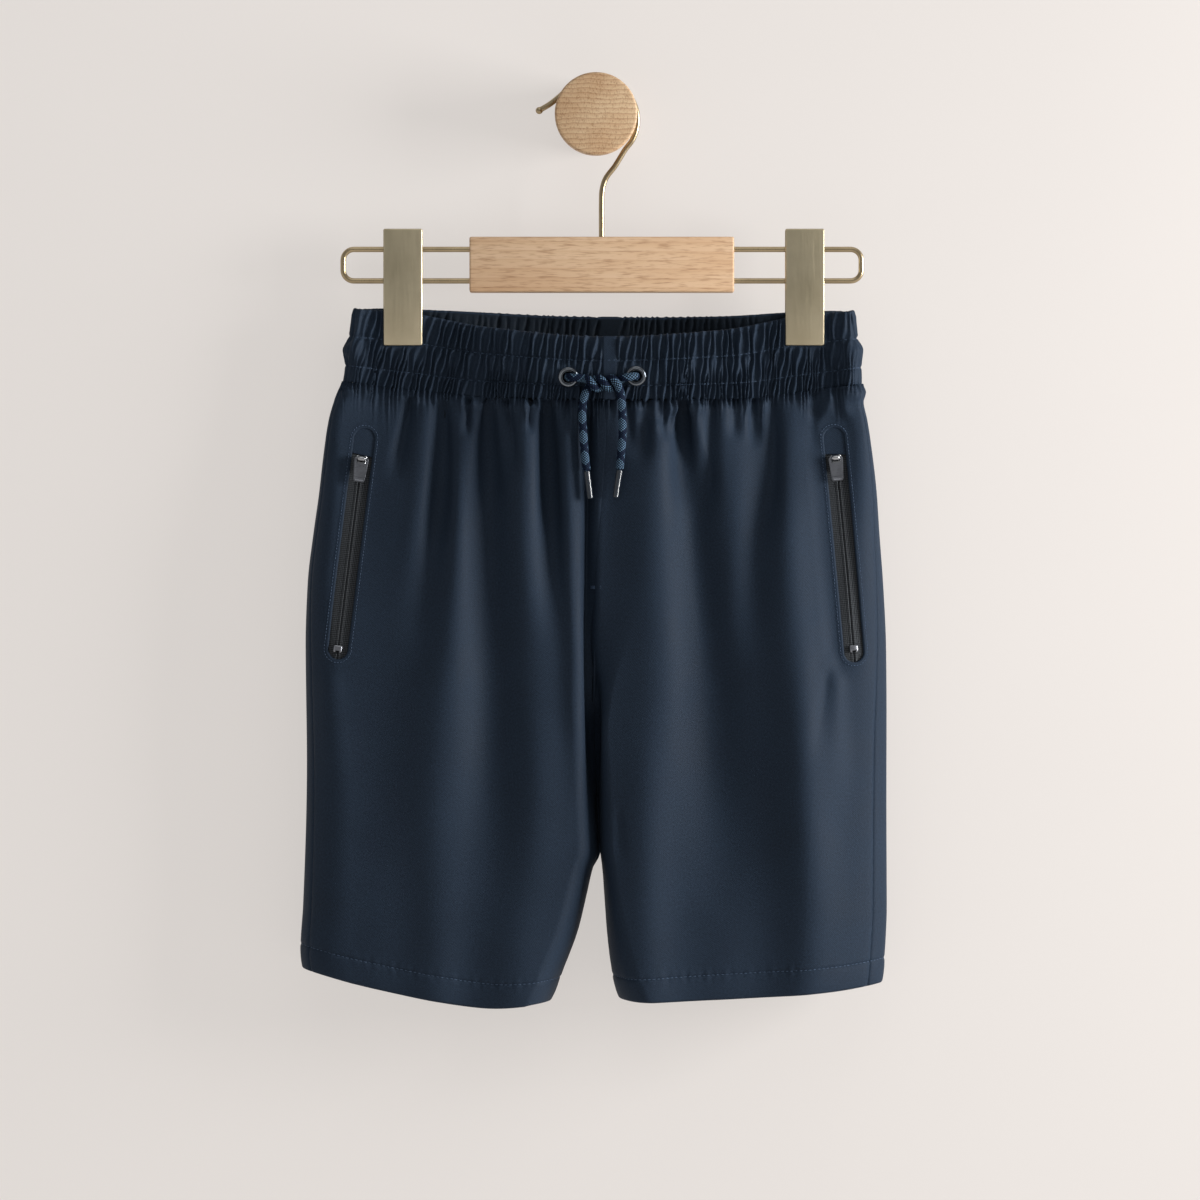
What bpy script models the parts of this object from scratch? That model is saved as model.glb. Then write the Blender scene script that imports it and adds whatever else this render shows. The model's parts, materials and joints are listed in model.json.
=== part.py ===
"""Athletic shorts on a clip hanger that hangs from a wall peg (metres, +Z up).

The wall is the plane y = 0, and the origin is the centre of the peg's flat back face.
Right and left are the wearer's: the right leg lies at -X. The front of the garment faces -Y.
Sizes are in millimetres, and the function that makes each mesh turns them to metres.
"""
from collections import namedtuple
from math import cos, exp, hypot, pi, radians, sin

import bmesh
import bpy
from mathutils import Matrix, Vector
from mathutils.bvhtree import BVHTree

MM = 0.001
GAP = 0.3                # clearance left between pieces that meet
NAME = "AthleticShorts"
RIGHT, LEFT = "right", "left"
FRONT, BACK = "front", "back"

# Hanging: the hook, the rails and the middle of the cloth hang in one plane.
HANG_Y = -27.0

# Wall peg of turned beech
SHANK_R = 19.4
SHANK_LENGTH = 36.0
DISC_R = 23.0
DISC_THICK = 12.0
DISC_EDGE = 1.4

# Hanger
WIRE_D = 3.1
HOOK_X, HOOK_Z, HOOK_R = -0.35, -2.2, 23.5
STEM_X = 3.1
BAR_X = (-70.8, 77.2)
BAR_Z = (-98.8, -67.9)
BAR_DEPTH = 14.0
BAR_EDGE = 1.2
BORE_DEEP = 8.0
RAIL_Z = (-92.4, -74.6)
RAIL_END = {RIGHT: -141.7, LEFT: 148.6}
RAIL_CORNER = 6.0
CLIP_X = {RIGHT: -108.1, LEFT: 116.8}
CLIP_WIDE = 21.8
CLIP_Z = (-128.6, -63.3)
PLATE_THICK = 1.6
CARRIER_Z = (-99.0, -68.0)

# Cloth walls
WALL = 1.2
HEM_WALL = 2.2
BAND_WALL = 2.4
SEAM_ANGLE = 0.40        # side seam, as a share of the quarter round in front of the side
SEAM_SLIP = 0.012        # share of the quarter round left clear on each side of that seam
PINCH_HALF = GAP / 2 + BAND_WALL
PINCH_OUTER = 15.0       # how far the flat place under a clip fades towards the side
PINCH_INNER = 74.0       # and towards the middle
PINCH_Z = (-245.0, -131.5)
BEYOND_X = 200.0         # past both sides of the garment
BEYOND_Y = -90.0         # in front of it

# Waistband rows, as shares of its height: elastic casing, cord channel, gathering row
BAND_ROWS = ((0.0, 0.36, 1.1), (0.36, 0.76, 1.7), (0.76, 1.0, 0.6))

# Zips: the slot runs from its top end to its bottom end on the front panel
SLOT_TOP = {RIGHT: (-128.8, -175.1), LEFT: (132.4, -174.6)}
SLOT_END = {RIGHT: (-144.5, -304.1), LEFT: (144.3, -305.8)}
SLOT_WIDE = 11.6
TAPE_WIDE = 20.0
TAPE_THICK = 1.1
GARAGE_LONG = 15.0
SLIDER_AT = 19.9         # from the slot's top end to the slider's middle
STOP_AT = 124.0

# Eyelets and drawcord
EYELET_AT = {RIGHT: (-15.4, -146.7), LEFT: (22.3, -146.2)}
EYELET_R = 5.6
EYELET_HOLE_R = 3.35
CORD_D = 4.6
AGLET_D = 3.6
AGLET_LONG = 16.0

# Outline of the garment from the front: how far each side reaches at each height
Side = namedtuple("Side", "z right left")
SIDES = [
    Side(-108.0, -136.1, 144.5), Side(-123.5, -138.3, 145.9), Side(-131.0, -141.4, 149.0),
    Side(-139.5, -140.4, 148.4), Side(-149.0, -141.6, 148.5), Side(-158.5, -146.4, 149.4),
    Side(-172.0, -150.3, 152.2), Side(-190.0, -152.8, 154.5), Side(-212.0, -155.1, 156.7),
    Side(-232.0, -157.8, 157.9), Side(-262.0, -161.3, 160.1), Side(-298.0, -162.6, 162.0),
    Side(-350.0, -162.4, 162.8), Side(-442.0, -164.6, 163.2), Side(-461.0, -165.6, 162.4),
    Side(-486.0, -163.8, 160.2),
]

# Inner edge of each leg: the centre seam down to the crotch, then the inseam
Inner = namedtuple("Inner", "z right left")
INNERS = [
    Inner(-108.0, 7.35, 7.65), Inner(-150.0, 7.15, 7.45), Inner(-200.0, 3.85, 4.15),
    Inner(-264.0, -0.15, 0.15), Inner(-338.0, -1.25, -0.75), Inner(-375.0, -0.30, 0.60),
    Inner(-411.0, 1.20, 2.30), Inner(-421.0, -2.20, 3.60), Inner(-439.0, -6.40, 5.00),
    Inner(-455.0, -10.2, 6.20), Inner(-477.0, -18.0, 8.90), Inner(-494.0, -24.6, 13.2),
]

# Depth of the hollow garment at each height, from the hanging plane to the outer face,
# in the middle of the body or leg and near its side, and the round of the side and of the
# inner edge. centre is how much of the depth is left at the centre seam.
Depth = namedtuple("Depth", "z front_mid front_side back_mid back_side side_round"
                            " centre inner_right inner_left inner_back")
DEPTHS = [
    Depth(-108.0, 17.5, 7.0, 12.0, 6.5, 7.0, 1.00, 9.0, 30.0, 20.0),
    Depth(-158.0, 18.0, 9.0, 13.0, 8.0, 8.0, 1.00, 9.0, 30.0, 20.0),
    Depth(-200.0, 21.0, 14.0, 16.0, 12.0, 11.0, 0.93, 9.5, 32.0, 22.0),
    Depth(-260.0, 24.5, 19.0, 19.0, 16.0, 13.5, 0.86, 11.0, 34.0, 24.0),
    Depth(-300.0, 25.5, 21.0, 20.0, 17.0, 15.0, 0.66, 13.0, 34.0, 24.0),
    Depth(-325.0, 26.0, 22.0, 20.5, 17.5, 16.0, 0.36, 15.0, 32.0, 24.0),
    Depth(-338.0, 26.0, 22.0, 20.5, 17.5, 16.0, 0.00, 16.0, 30.0, 23.0),
    Depth(-413.0, 26.0, 23.0, 21.0, 18.5, 17.0, 0.00, 18.0, 24.0, 20.0),
    Depth(-495.0, 27.0, 24.5, 22.0, 20.0, 18.0, 0.00, 19.0, 21.0, 20.0),
]

# Heights of the waistband's top edge, of the waist seam and of the hem, across the garment
Edge = namedtuple("Edge", "x front back")
BAND_TOP = [
    Edge(-142.0, -108.3, -108.3), Edge(-108.0, -111.0, -109.2), Edge(-60.0, -119.5, -110.8),
    Edge(5.0, -124.6, -112.6), Edge(70.0, -121.0, -112.8), Edge(117.0, -112.5, -110.6),
    Edge(150.0, -109.6, -109.6),
]
WAIST_SEAM = [
    Edge(-142.0, -149.0, -149.0), Edge(-108.0, -153.0, -149.8), Edge(-60.0, -157.6, -150.6),
    Edge(5.0, -159.6, -151.2), Edge(80.0, -158.4, -151.0), Edge(117.0, -154.4, -150.6),
    Edge(150.0, -150.0, -150.0),
]
HEM = {
    RIGHT: [Edge(-165.0, -476.0, -476.0), Edge(-122.0, -486.6, -484.5),
            Edge(-89.0, -493.2, -490.5), Edge(-57.0, -497.0, -494.0),
            Edge(-24.0, -494.2, -493.6)],
    LEFT: [Edge(13.0, -493.0, -493.0), Edge(24.0, -494.0, -492.6), Edge(64.0, -492.5, -490.0),
           Edge(104.0, -490.3, -487.6), Edge(131.0, -488.2, -486.0),
           Edge(161.0, -484.0, -484.0)],
}

# Main folds, hanging from the waist seam: where each starts, passes and ends, how far it
# stands out (or sinks, if negative), and its half width at the top and at the end
Fold = namedtuple("Fold", "x_top x_mid x_end z_top z_end height wide_top wide_end")
FOLDS = {
    FRONT: [
        Fold(-89.6, -91.0, -102.0, -160.0, -330.0, -2.4, 7.0, 12.0),
        Fold(-78.5, -83.0, -93.0, -158.0, -440.0, 2.8, 9.0, 24.0),
        Fold(-65.0, -62.0, -56.0, -158.0, -480.0, -4.4, 8.0, 23.0),
        Fold(-45.0, -43.0, -21.0, -160.0, -490.0, 3.2, 9.0, 20.0),
        Fold(-28.6, -27.0, -24.0, -158.0, -310.0, -3.0, 6.0, 9.0),
        Fold(34.0, 33.0, 24.0, -175.0, -490.0, 2.4, 18.0, 24.0),
        Fold(47.0, 60.0, 66.0, -158.0, -490.0, -4.6, 8.0, 25.0),
        Fold(75.0, 76.0, 78.0, -158.0, -320.0, 2.2, 7.0, 13.0),
        Fold(90.0, 89.0, 86.0, -158.0, -320.0, -3.0, 7.0, 12.0),
        Fold(109.0, 107.0, 114.0, -160.0, -490.0, 3.0, 12.0, 25.0),
    ],
    BACK: [
        Fold(-104.0, -106.0, -112.0, -152.0, -470.0, 2.6, 9.0, 24.0),
        Fold(-84.0, -82.0, -78.0, -152.0, -430.0, -3.4, 8.0, 20.0),
        Fold(-58.0, -55.0, -46.0, -154.0, -490.0, 2.8, 9.0, 24.0),
        Fold(-33.0, -31.0, -28.0, -152.0, -330.0, -2.6, 7.0, 11.0),
        Fold(24.0, 27.0, 33.0, -152.0, -480.0, 2.6, 9.0, 23.0),
        Fold(44.0, 50.0, 62.0, -152.0, -440.0, -3.8, 8.0, 22.0),
        Fold(72.0, 80.0, 92.0, -154.0, -490.0, 3.0, 9.0, 24.0),
        Fold(101.0, 103.0, 108.0, -152.0, -350.0, -2.6, 7.0, 13.0),
    ],
}

# Rows and columns of the cloth grids
BAND_GRID_ROWS = (0.0, 0.09, 0.18, 0.27, 0.36, 0.46, 0.56, 0.66, 0.76, 0.88, 1.0)
HEM_FOLD_ROW = 0.96      # below this row the hem is doubled
PANEL_GRID_ROWS = (0.0, 0.04, 0.10, 0.17, 0.25, 0.33, 0.41, 0.48, 0.515, 0.545, 0.59, 0.68,
                   0.78, 0.88, 0.955, 0.965, 1.0)
BAND_CELLS = 26
PANEL_CELLS = 11

# Drawcord routes (x, y, z): out of the eyelet, once and a half round each other, and down
CORD_ROUTE = {
    RIGHT: [
        (-15.4, -43.8, -146.7), (-15.2, -47.4, -146.8), (-13.6, -50.4, -147.2),
        (-10.4, -51.0, -147.4), (-6.6, -50.6, -147.8), (-4.2, -52.7, -148.6),
        (-2.5, -53.5, -150.5), (-0.8, -52.7, -152.4), (1.0, -50.8, -153.2),
        (2.8, -48.9, -152.4), (4.5, -48.1, -150.5), (6.2, -48.9, -148.6),
        (8.0, -50.8, -147.8), (9.8, -52.7, -148.6), (11.6, -53.6, -150.6),
        (13.0, -53.2, -153.6), (13.9, -52.0, -157.6), (14.4, -50.9, -163.0),
        (14.7, -50.2, -170.0), (14.7, -50.3, -180.0), (13.9, -51.0, -189.8),
        (13.2, -51.5, -198.2),
    ],
    LEFT: [
        (22.3, -43.6, -146.2), (22.2, -47.2, -146.3), (20.8, -50.1, -146.6),
        (18.0, -51.2, -147.0), (15.0, -50.6, -147.6), (13.2, -48.9, -148.6),
        (11.5, -48.1, -150.5), (9.8, -48.9, -152.4), (8.0, -50.8, -153.2),
        (6.2, -52.7, -152.4), (4.5, -53.5, -150.5), (2.8, -52.7, -148.6),
        (1.0, -50.8, -147.8), (-0.8, -48.9, -148.6), (-2.6, -48.1, -150.6),
        (-4.4, -48.4, -153.2), (-6.2, -49.0, -156.8), (-7.3, -49.1, -162.0),
        (-7.6, -49.2, -169.0), (-7.1, -49.8, -178.6), (-6.3, -50.8, -189.8),
        (-5.2, -51.5, -198.8),
    ],
}
AGLET_TIP = {RIGHT: (10.8, -52.0, -214.1), LEFT: (-3.1, -52.2, -215.4)}


# ---------------------------------------------------------------- numbers
def blend(low, high, share):
    return low + (high - low) * share


def ease(start, end, place):
    share = min(1.0, max(0.0, (place - start) / (end - start)))
    return share * share * (3.0 - 2.0 * share)


def along(rows, key, column, place):
    """Read a table at a place, on a smooth curve that never overshoots its rows."""
    points = sorted((getattr(row, key), getattr(row, column)) for row in rows)
    if place <= points[0][0]:
        return points[0][1]
    if place >= points[-1][0]:
        return points[-1][1]
    rises = [(b[1] - a[1]) / (b[0] - a[0]) for a, b in zip(points, points[1:])]
    slopes = [rises[0]] + [2 * a * b / (a + b) if a * b > 0 else 0.0
                           for a, b in zip(rises, rises[1:])] + [rises[-1]]
    at = max(i for i in range(len(points) - 1) if points[i][0] <= place)
    span = points[at + 1][0] - points[at][0]
    t = (place - points[at][0]) / span
    return (points[at][1] * (1 + 2 * t) * (1 - t) ** 2
            + points[at + 1][1] * t * t * (3 - 2 * t)
            + span * t * (1 - t) * (slopes[at] * (1 - t) - slopes[at + 1] * t))


def smooth_route(points, spacing):
    """Points at an even spacing on a smooth curve through the route's own points."""
    ends = [points[0]] + list(points) + [points[-1]]
    fine = []
    for a, b, c, d in zip(ends, ends[1:], ends[2:], ends[3:]):
        a, b, c, d = (Vector(p) for p in (a, b, c, d))
        for step in range(12):
            t = step / 12
            fine.append(0.5 * (2 * b + (c - a) * t + (2 * a - 5 * b + 4 * c - d) * t * t
                               + (3 * b - a - 3 * c + d) * t ** 3))
    fine.append(Vector(points[-1]))
    length = sum((q - p).length for p, q in zip(fine, fine[1:]))
    count = max(2, round(length / spacing))
    route, walked, target = [fine[0]], 0.0, length / count
    for p, q in zip(fine, fine[1:]):
        step = (q - p).length
        while step > 0 and walked + step >= target and len(route) < count:
            route.append(p.lerp(q, (target - walked) / step))
            target += length / count
        walked += step
    route.append(fine[-1])
    return route


# ---------------------------------------------------------------- the cloth's surface
def pinch(x, z):
    """How far the two clips press the cloth flat at a place, from 0 to 1."""
    press = 0.0
    for side, clip_x in CLIP_X.items():
        outward = (x - clip_x) * (-1 if side == RIGHT else 1)
        reach = PINCH_OUTER if outward > 0 else PINCH_INNER
        flat = CLIP_WIDE / 2 + 1.5
        press = max(press, 1.0 - ease(flat, flat + reach, abs(x - clip_x)))
    return press * ease(*PINCH_Z, z)


def folds(face, x, z):
    """How far the main folds stand out of the smooth form at a place."""
    total = 0.0
    for fold in FOLDS[face]:
        share = (fold.z_top - z) / (fold.z_top - fold.z_end)
        if not 0.0 < share < 1.0:
            continue
        middle = (blend(blend(fold.x_top, fold.x_mid, min(1.0, share * 2)), fold.x_end,
                        max(0.0, share * 2 - 1)))
        wide = blend(fold.wide_top, fold.wide_end, share)
        fade = ease(0.0, 0.06, share) * (1.0 - ease(0.55, 1.0, share))
        total += fold.height * fade * exp(-((x - middle) / wide) ** 2)
    return total


def depth(face, x, z, side_x, side_z):
    """Distance from the hanging plane to the cloth's outer face, away from its rounded ends."""
    middle = along(DEPTHS, "z", face + "_mid", z)
    beside = along(DEPTHS, "z", face + "_side", z)
    swell = ease(0.0, 75.0, abs(x - side_x) - along(DEPTHS, "z", "side_round", side_z))
    open_depth = blend(beside, middle, swell) + folds(face, x, z)
    return blend(open_depth, PINCH_HALF, pinch(x, z))


def side_place(face, x_at_side, z_side, inward, angle, z_of):
    """A point on the quarter round of a side. The angle is 0 at the side itself."""
    radius = along(DEPTHS, "z", "side_round", z_side)
    x = x_at_side + inward * radius * (1 - cos(angle))
    z = z_of(x)
    out = -1 if face == FRONT else 1
    return Vector((x, HANG_Y + out * depth(face, x, z, x_at_side, z_side) * sin(angle), z))


def panel_point(face, leg, u, v):
    """A point of a leg panel's outer face.

    u is 0 at the side, 1 to 2 across the panel and 3 at its inner edge, and below 0 it
    runs on round the side to the other face. v is 0 at the waist seam and 1 at the hem.
    """
    if u < 0:
        face, u = (BACK if face == FRONT else FRONT), -u
    inward = 1 if leg == RIGHT else -1
    side_z = blend(along(WAIST_SEAM, "x", face, -BEYOND_X * inward),
                   along(HEM[leg], "x", face, -BEYOND_X * inward), v)
    inner_z = blend(along(WAIST_SEAM, "x", face, 5.0), along(HEM[leg], "x", face, 0.0), v)
    side_x = along(SIDES, "z", leg, side_z)
    inner_x = along(INNERS, "z", leg, inner_z)

    def height(x):
        return blend(along(WAIST_SEAM, "x", face, x), along(HEM[leg], "x", face, x), v)

    if u < 1:
        return side_place(face, side_x, side_z, inward, u * pi / 2, height)
    start = side_x + inward * along(DEPTHS, "z", "side_round", side_z)
    column = "inner_" + (leg if face == FRONT else BACK)
    reach = along(DEPTHS, "z", column, inner_z)
    end = inner_x - inward * reach
    left_over, share = 1.0, 1.0
    if u <= 2:
        x = blend(start, end, u - 1)
    else:
        angle = (3 - u) * pi / 2
        x = inner_x - inward * reach * (1 - cos(angle))
        left_over = along(DEPTHS, "z", "centre", inner_z)
        roundness = (1 - left_over) ** 2
        share = blend(sin(pi / 2 * (1 - cos(angle))), sin(angle), roundness)
    z = height(x)
    full = depth(face, x, z, side_x, side_z) * blend(left_over, 1.0, share)
    out = -1 if face == FRONT else 1
    return Vector((x, HANG_Y + out * max(full, GAP / 2), z))


NEAR_SIDE = 0.3          # nearer the side than this, the cloth faces sideways


def panel_normal(face, leg, u, v):
    step_u, step_v = 0.04, 0.01
    across = (panel_point(face, leg, min(3.0, u + step_u), v)
              - panel_point(face, leg, u - step_u, v))
    down = (panel_point(face, leg, u, min(1.0, v + step_v))
            - panel_point(face, leg, u, max(0.0, v - step_v)))
    normal = across.cross(down).normalized()
    out = -1 if (face == FRONT) == (u >= 0) else 1
    sideways = 1 if leg == LEFT else -1
    if abs(u) > NEAR_SIDE:
        wrong = normal.y * out < 0
    else:
        wrong = normal.x * sideways < 0
    if wrong:
        normal.negate()
    if u == 3.0:
        inner_z = panel_point(face, leg, 3.0, v).z
        turn = (1 - along(DEPTHS, "z", "centre", inner_z)) ** 2
        inner = Vector((1.0 if leg == RIGHT else -1.0, 0.0, 0.0))
        normal = normal.lerp(inner, turn).normalized()
    return normal


def band_relief(v):
    """The waistband's three rows swell between their lines of stitching."""
    for top, end, height in BAND_ROWS:
        if top <= v <= end:
            return height * max(0.0, sin(pi * (v - top) / (end - top))) ** 0.8
    return 0.0


def band_point(face, u, v):
    """A point of the waistband's outer face: u runs from 0 at the right side to 3 at the left."""
    if u < 0 or u > 3:
        face = BACK if face == FRONT else FRONT
        u = -u if u < 0 else 6 - u
    leg, inward, angle = (RIGHT, 1, u) if u <= 1.5 else (LEFT, -1, 3 - u)
    side_z = blend(along(BAND_TOP, "x", face, -BEYOND_X * inward),
                   along(WAIST_SEAM, "x", face, -BEYOND_X * inward), v)
    side_x = along(SIDES, "z", leg, side_z)

    def height(x):
        return blend(along(BAND_TOP, "x", face, x), along(WAIST_SEAM, "x", face, x), v)

    if angle < 1:
        point = side_place(face, side_x, side_z, inward, angle * pi / 2, height)
    else:
        radius = along(DEPTHS, "z", "side_round", side_z)
        far_x = along(SIDES, "z", LEFT if leg == RIGHT else RIGHT, side_z)
        x = blend(side_x + inward * radius, far_x - inward * radius, angle - 1)
        z = height(x)
        out = -1 if face == FRONT else 1
        point = Vector((x, HANG_Y + out * depth(face, x, z, side_x, side_z), z))
    out = -1 if face == FRONT else 1
    swell = band_relief(v) * (1 - pinch(point.x, point.z)) * sin(min(1.0, angle) * pi / 2)
    point.y += out * swell
    return point


def band_normal(face, u, v):
    step_u, step_v = 0.02, 0.01
    across = band_point(face, u + step_u, v) - band_point(face, u - step_u, v)
    down = band_point(face, u, min(1.0, v + step_v)) - band_point(face, u, max(0.0, v - step_v))
    normal = across.cross(down).normalized()
    middle = Vector((5.0, HANG_Y, 0.0))
    away = band_point(face, u, v) - middle
    if min(u, 3 - u) < NEAR_SIDE:
        wrong = normal.x * away.x < 0
    else:
        wrong = normal.y * (-1 if face == FRONT else 1) < 0
    if wrong:
        normal.negate()
    return normal


# ---------------------------------------------------------------- objects and materials
def finish(name, colour, roughness, metallic=0.0):
    material = bpy.data.materials.new(name)
    material.use_nodes = True
    shader = material.node_tree.nodes["Principled BSDF"]
    shader.inputs["Base Color"].default_value = (*colour, 1.0)
    shader.inputs["Roughness"].default_value = roughness
    shader.inputs["Metallic"].default_value = metallic
    return material


def add_object(name, data, material, collection=None):
    thing = bpy.data.objects.new(name, data)
    (collection or model).objects.link(thing)
    if material:
        data.materials.append(material)
    return thing


def mesh_of(name, build):
    """A mesh made by a function that works on a bmesh in millimetres."""
    grid = bmesh.new()
    build(grid)
    bmesh.ops.scale(grid, vec=(MM, MM, MM), verts=grid.verts)
    bmesh.ops.recalc_face_normals(grid, faces=grid.faces)
    mesh = bpy.data.meshes.new(name)
    grid.to_mesh(mesh)
    grid.free()
    return mesh


def smooth(thing, angle=35.0):
    thing.data.shade_smooth()
    thing.data.set_sharp_from_angle(angle=radians(angle))
    return thing


def cutter_of(name, build):
    cutter = add_object(name, mesh_of(name, build), None, cutters)
    cutter.hide_render = True
    cutter.display_type = 'WIRE'
    return cutter


def cut(thing, cutter, operation='DIFFERENCE'):
    change = thing.modifiers.new(cutter.name, 'BOOLEAN')
    change.operation = operation
    change.solver = 'EXACT'
    change.object = cutter


def bevel(thing, width, segments=2):
    edges = thing.modifiers.new("rounded edges", 'BEVEL')
    edges.width = width * MM
    edges.segments = segments
    edges.limit_method = 'ANGLE'
    edges.angle_limit = radians(40)


def cloth_wall(name, points, normals, walls, material):
    """A closed cloth wall: a grid of outer points, and the same grid moved in by its thickness."""
    def build(grid):
        rows, columns = len(points), len(points[0])
        outer = [[grid.verts.new(point) for point in row] for row in points]
        inner = [[grid.verts.new(points[r][c] - normals[r][c] * walls[r])
                  for c in range(columns)] for r in range(rows)]
        for skin in (outer, inner):
            for r in range(rows - 1):
                for c in range(columns - 1):
                    grid.faces.new((skin[r][c], skin[r + 1][c], skin[r + 1][c + 1],
                                    skin[r][c + 1]))
        for c in range(columns - 1):
            for r in (0, rows - 1):
                grid.faces.new((outer[r][c], outer[r][c + 1], inner[r][c + 1], inner[r][c]))
        for r in range(rows - 1):
            for c in (0, columns - 1):
                grid.faces.new((outer[r][c], outer[r + 1][c], inner[r + 1][c], inner[r][c]))
    return smooth(add_object(name, mesh_of(name, build), material), 60.0)


def box(grid, low, high):
    made = bmesh.ops.create_cube(grid, size=1.0)["verts"]
    size = Vector(high) - Vector(low)
    bmesh.ops.scale(grid, vec=size, verts=made)
    bmesh.ops.translate(grid, vec=(Vector(high) + Vector(low)) / 2, verts=made)


def rod(grid, start, end, radius, sides=16):
    start, end = Vector(start), Vector(end)
    turn = (end - start).to_track_quat('Z', 'Y').to_matrix().to_4x4()
    place = Matrix.Translation((start + end) / 2) @ turn
    bmesh.ops.create_cone(grid, cap_ends=True, segments=sides, radius1=radius, radius2=radius,
                          depth=(end - start).length, matrix=place)


def tube(name, route, diameter, material, resolution=2):
    """A wire or cord along a route, as a curve with a round section and closed ends."""
    curve = bpy.data.curves.new(name, 'CURVE')
    curve.dimensions = '3D'
    curve.bevel_depth = diameter / 2 * MM
    curve.bevel_resolution = resolution
    curve.use_fill_caps = True
    spline = curve.splines.new('POLY')
    spline.points.add(len(route) - 1)
    for point, place in zip(spline.points, route):
        point.co = (*(Vector(place) * MM), 1.0)
    spline.use_smooth = True
    return add_object(name, curve, material)


def as_mesh(thing):
    """The same piece as a closed mesh, so that it can be cut or joined."""
    evaluated = thing.evaluated_get(bpy.context.evaluated_depsgraph_get())
    mesh = bpy.data.meshes.new_from_object(evaluated)
    welded = bmesh.new()
    welded.from_mesh(mesh)
    bmesh.ops.remove_doubles(welded, verts=welded.verts, dist=0.00001)
    welded.to_mesh(mesh)
    welded.free()
    name, material = thing.name, thing.data.materials[0]
    place = thing.matrix_world.copy()
    bpy.data.objects.remove(thing)
    mesh.materials.clear()
    solid = add_object(name, mesh, material)
    solid.matrix_world = place
    return solid


def turned(name, profile, material, steps=32):
    """A turned piece: a profile of (radius, height), from its top to its foot."""
    def build(grid):
        spots = [grid.verts.new((radius, 0.0, height)) for radius, height in profile]
        for a, b in zip(spots, spots[1:]):
            grid.edges.new((a, b))
    thing = add_object(name, mesh_of(name, build), material)
    lathe = thing.modifiers.new("lathe", 'SCREW')
    lathe.steps = steps
    lathe.render_steps = steps
    lathe.use_merge_vertices = True
    lathe.merge_threshold = 0.00001
    lathe.use_smooth_shade = True
    return thing


# ---------------------------------------------------------------- peg and hanger
def make_peg():
    front = SHANK_LENGTH + DISC_THICK
    peg = turned("wall_peg", [
        (0.0, front), (DISC_R - DISC_EDGE, front), (DISC_R - DISC_EDGE * 0.3, front - DISC_EDGE * 0.3),
        (DISC_R, front - DISC_EDGE), (DISC_R, SHANK_LENGTH + DISC_EDGE),
        (DISC_R - DISC_EDGE, SHANK_LENGTH), (SHANK_R, SHANK_LENGTH), (SHANK_R, 0.0), (0.0, 0.0),
    ], beech, steps=48)
    peg.rotation_euler = (radians(90), 0.0, 0.0)


def hook_route():
    """From the tip, over the peg and down the stem into the bar."""
    points = [(-31.4, 3.4), (-26.0, 6.6), (-20.2, 11.2), (-14.2, 16.6)]
    points += [(HOOK_X + HOOK_R * cos(radians(angle)), HOOK_Z + HOOK_R * sin(radians(angle)))
               for angle in range(105, -46, -15)]
    points += [(10.6, -28.0), (5.6, -34.6), (3.5, -41.0), (STEM_X, -48.0), (STEM_X, -58.0),
               (STEM_X, BAR_Z[1] - BORE_DEEP + GAP)]
    return smooth_route([(x, HANG_Y, z) for x, z in points], 3.6)


def make_hook():
    hook = as_mesh(tube("hanger_hook", hook_route(), WIRE_D, brass))
    tip = Vector((-31.8, HANG_Y, 3.1))

    def ball(grid):
        bmesh.ops.create_uvsphere(grid, u_segments=16, v_segments=10, radius=2.0,
                                  matrix=Matrix.Translation(tip))
    cut(hook, cutter_of("hook_ball_join", ball), 'UNION')
    smooth(hook)


def make_bar():
    low = (BAR_X[0], HANG_Y - BAR_DEPTH / 2, BAR_Z[0])
    high = (BAR_X[1], HANG_Y + BAR_DEPTH / 2, BAR_Z[1])
    bar = add_object("hanger_bar", mesh_of("hanger_bar", lambda grid: box(grid, low, high)), beech)
    bevel(bar, BAR_EDGE, 2)
    bore_r = WIRE_D / 2 + GAP

    def bores(grid):
        rod(grid, (STEM_X, HANG_Y, BAR_Z[1] + 3), (STEM_X, HANG_Y, BAR_Z[1] - BORE_DEEP), bore_r)
        for z in RAIL_Z:
            rod(grid, (BAR_X[0] - 3, HANG_Y, z), (BAR_X[0] + BORE_DEEP, HANG_Y, z), bore_r)
            rod(grid, (BAR_X[1] + 3, HANG_Y, z), (BAR_X[1] - BORE_DEEP, HANG_Y, z), bore_r)
    cut(bar, cutter_of("bar_bores", bores))


def make_rail(side):
    """One wire bent to a long U, both ends let into the bar."""
    out = -1 if side == RIGHT else 1
    bar_end = BAR_X[0] if side == RIGHT else BAR_X[1]
    inside = bar_end - out * (BORE_DEEP - GAP)
    end = RAIL_END[side]
    low, high = RAIL_Z
    route = [(inside, high), (bar_end, high), (blend(bar_end, end, 0.5), high)]
    centre_x = end - out * RAIL_CORNER
    for step in range(5):
        angle = radians(90 - 22.5 * step)
        route.append((centre_x + out * RAIL_CORNER * cos(angle),
                      high - RAIL_CORNER + RAIL_CORNER * sin(angle)))
    for step in range(5):
        angle = radians(-22.5 * step)
        route.append((centre_x + out * RAIL_CORNER * cos(angle),
                      low + RAIL_CORNER + RAIL_CORNER * sin(angle)))
    route += [(blend(bar_end, end, 0.5), low), (bar_end, low), (inside, low)]
    tube("rail_" + side, [(x, HANG_Y, z) for x, z in route], WIRE_D, brass, 3)


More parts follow.
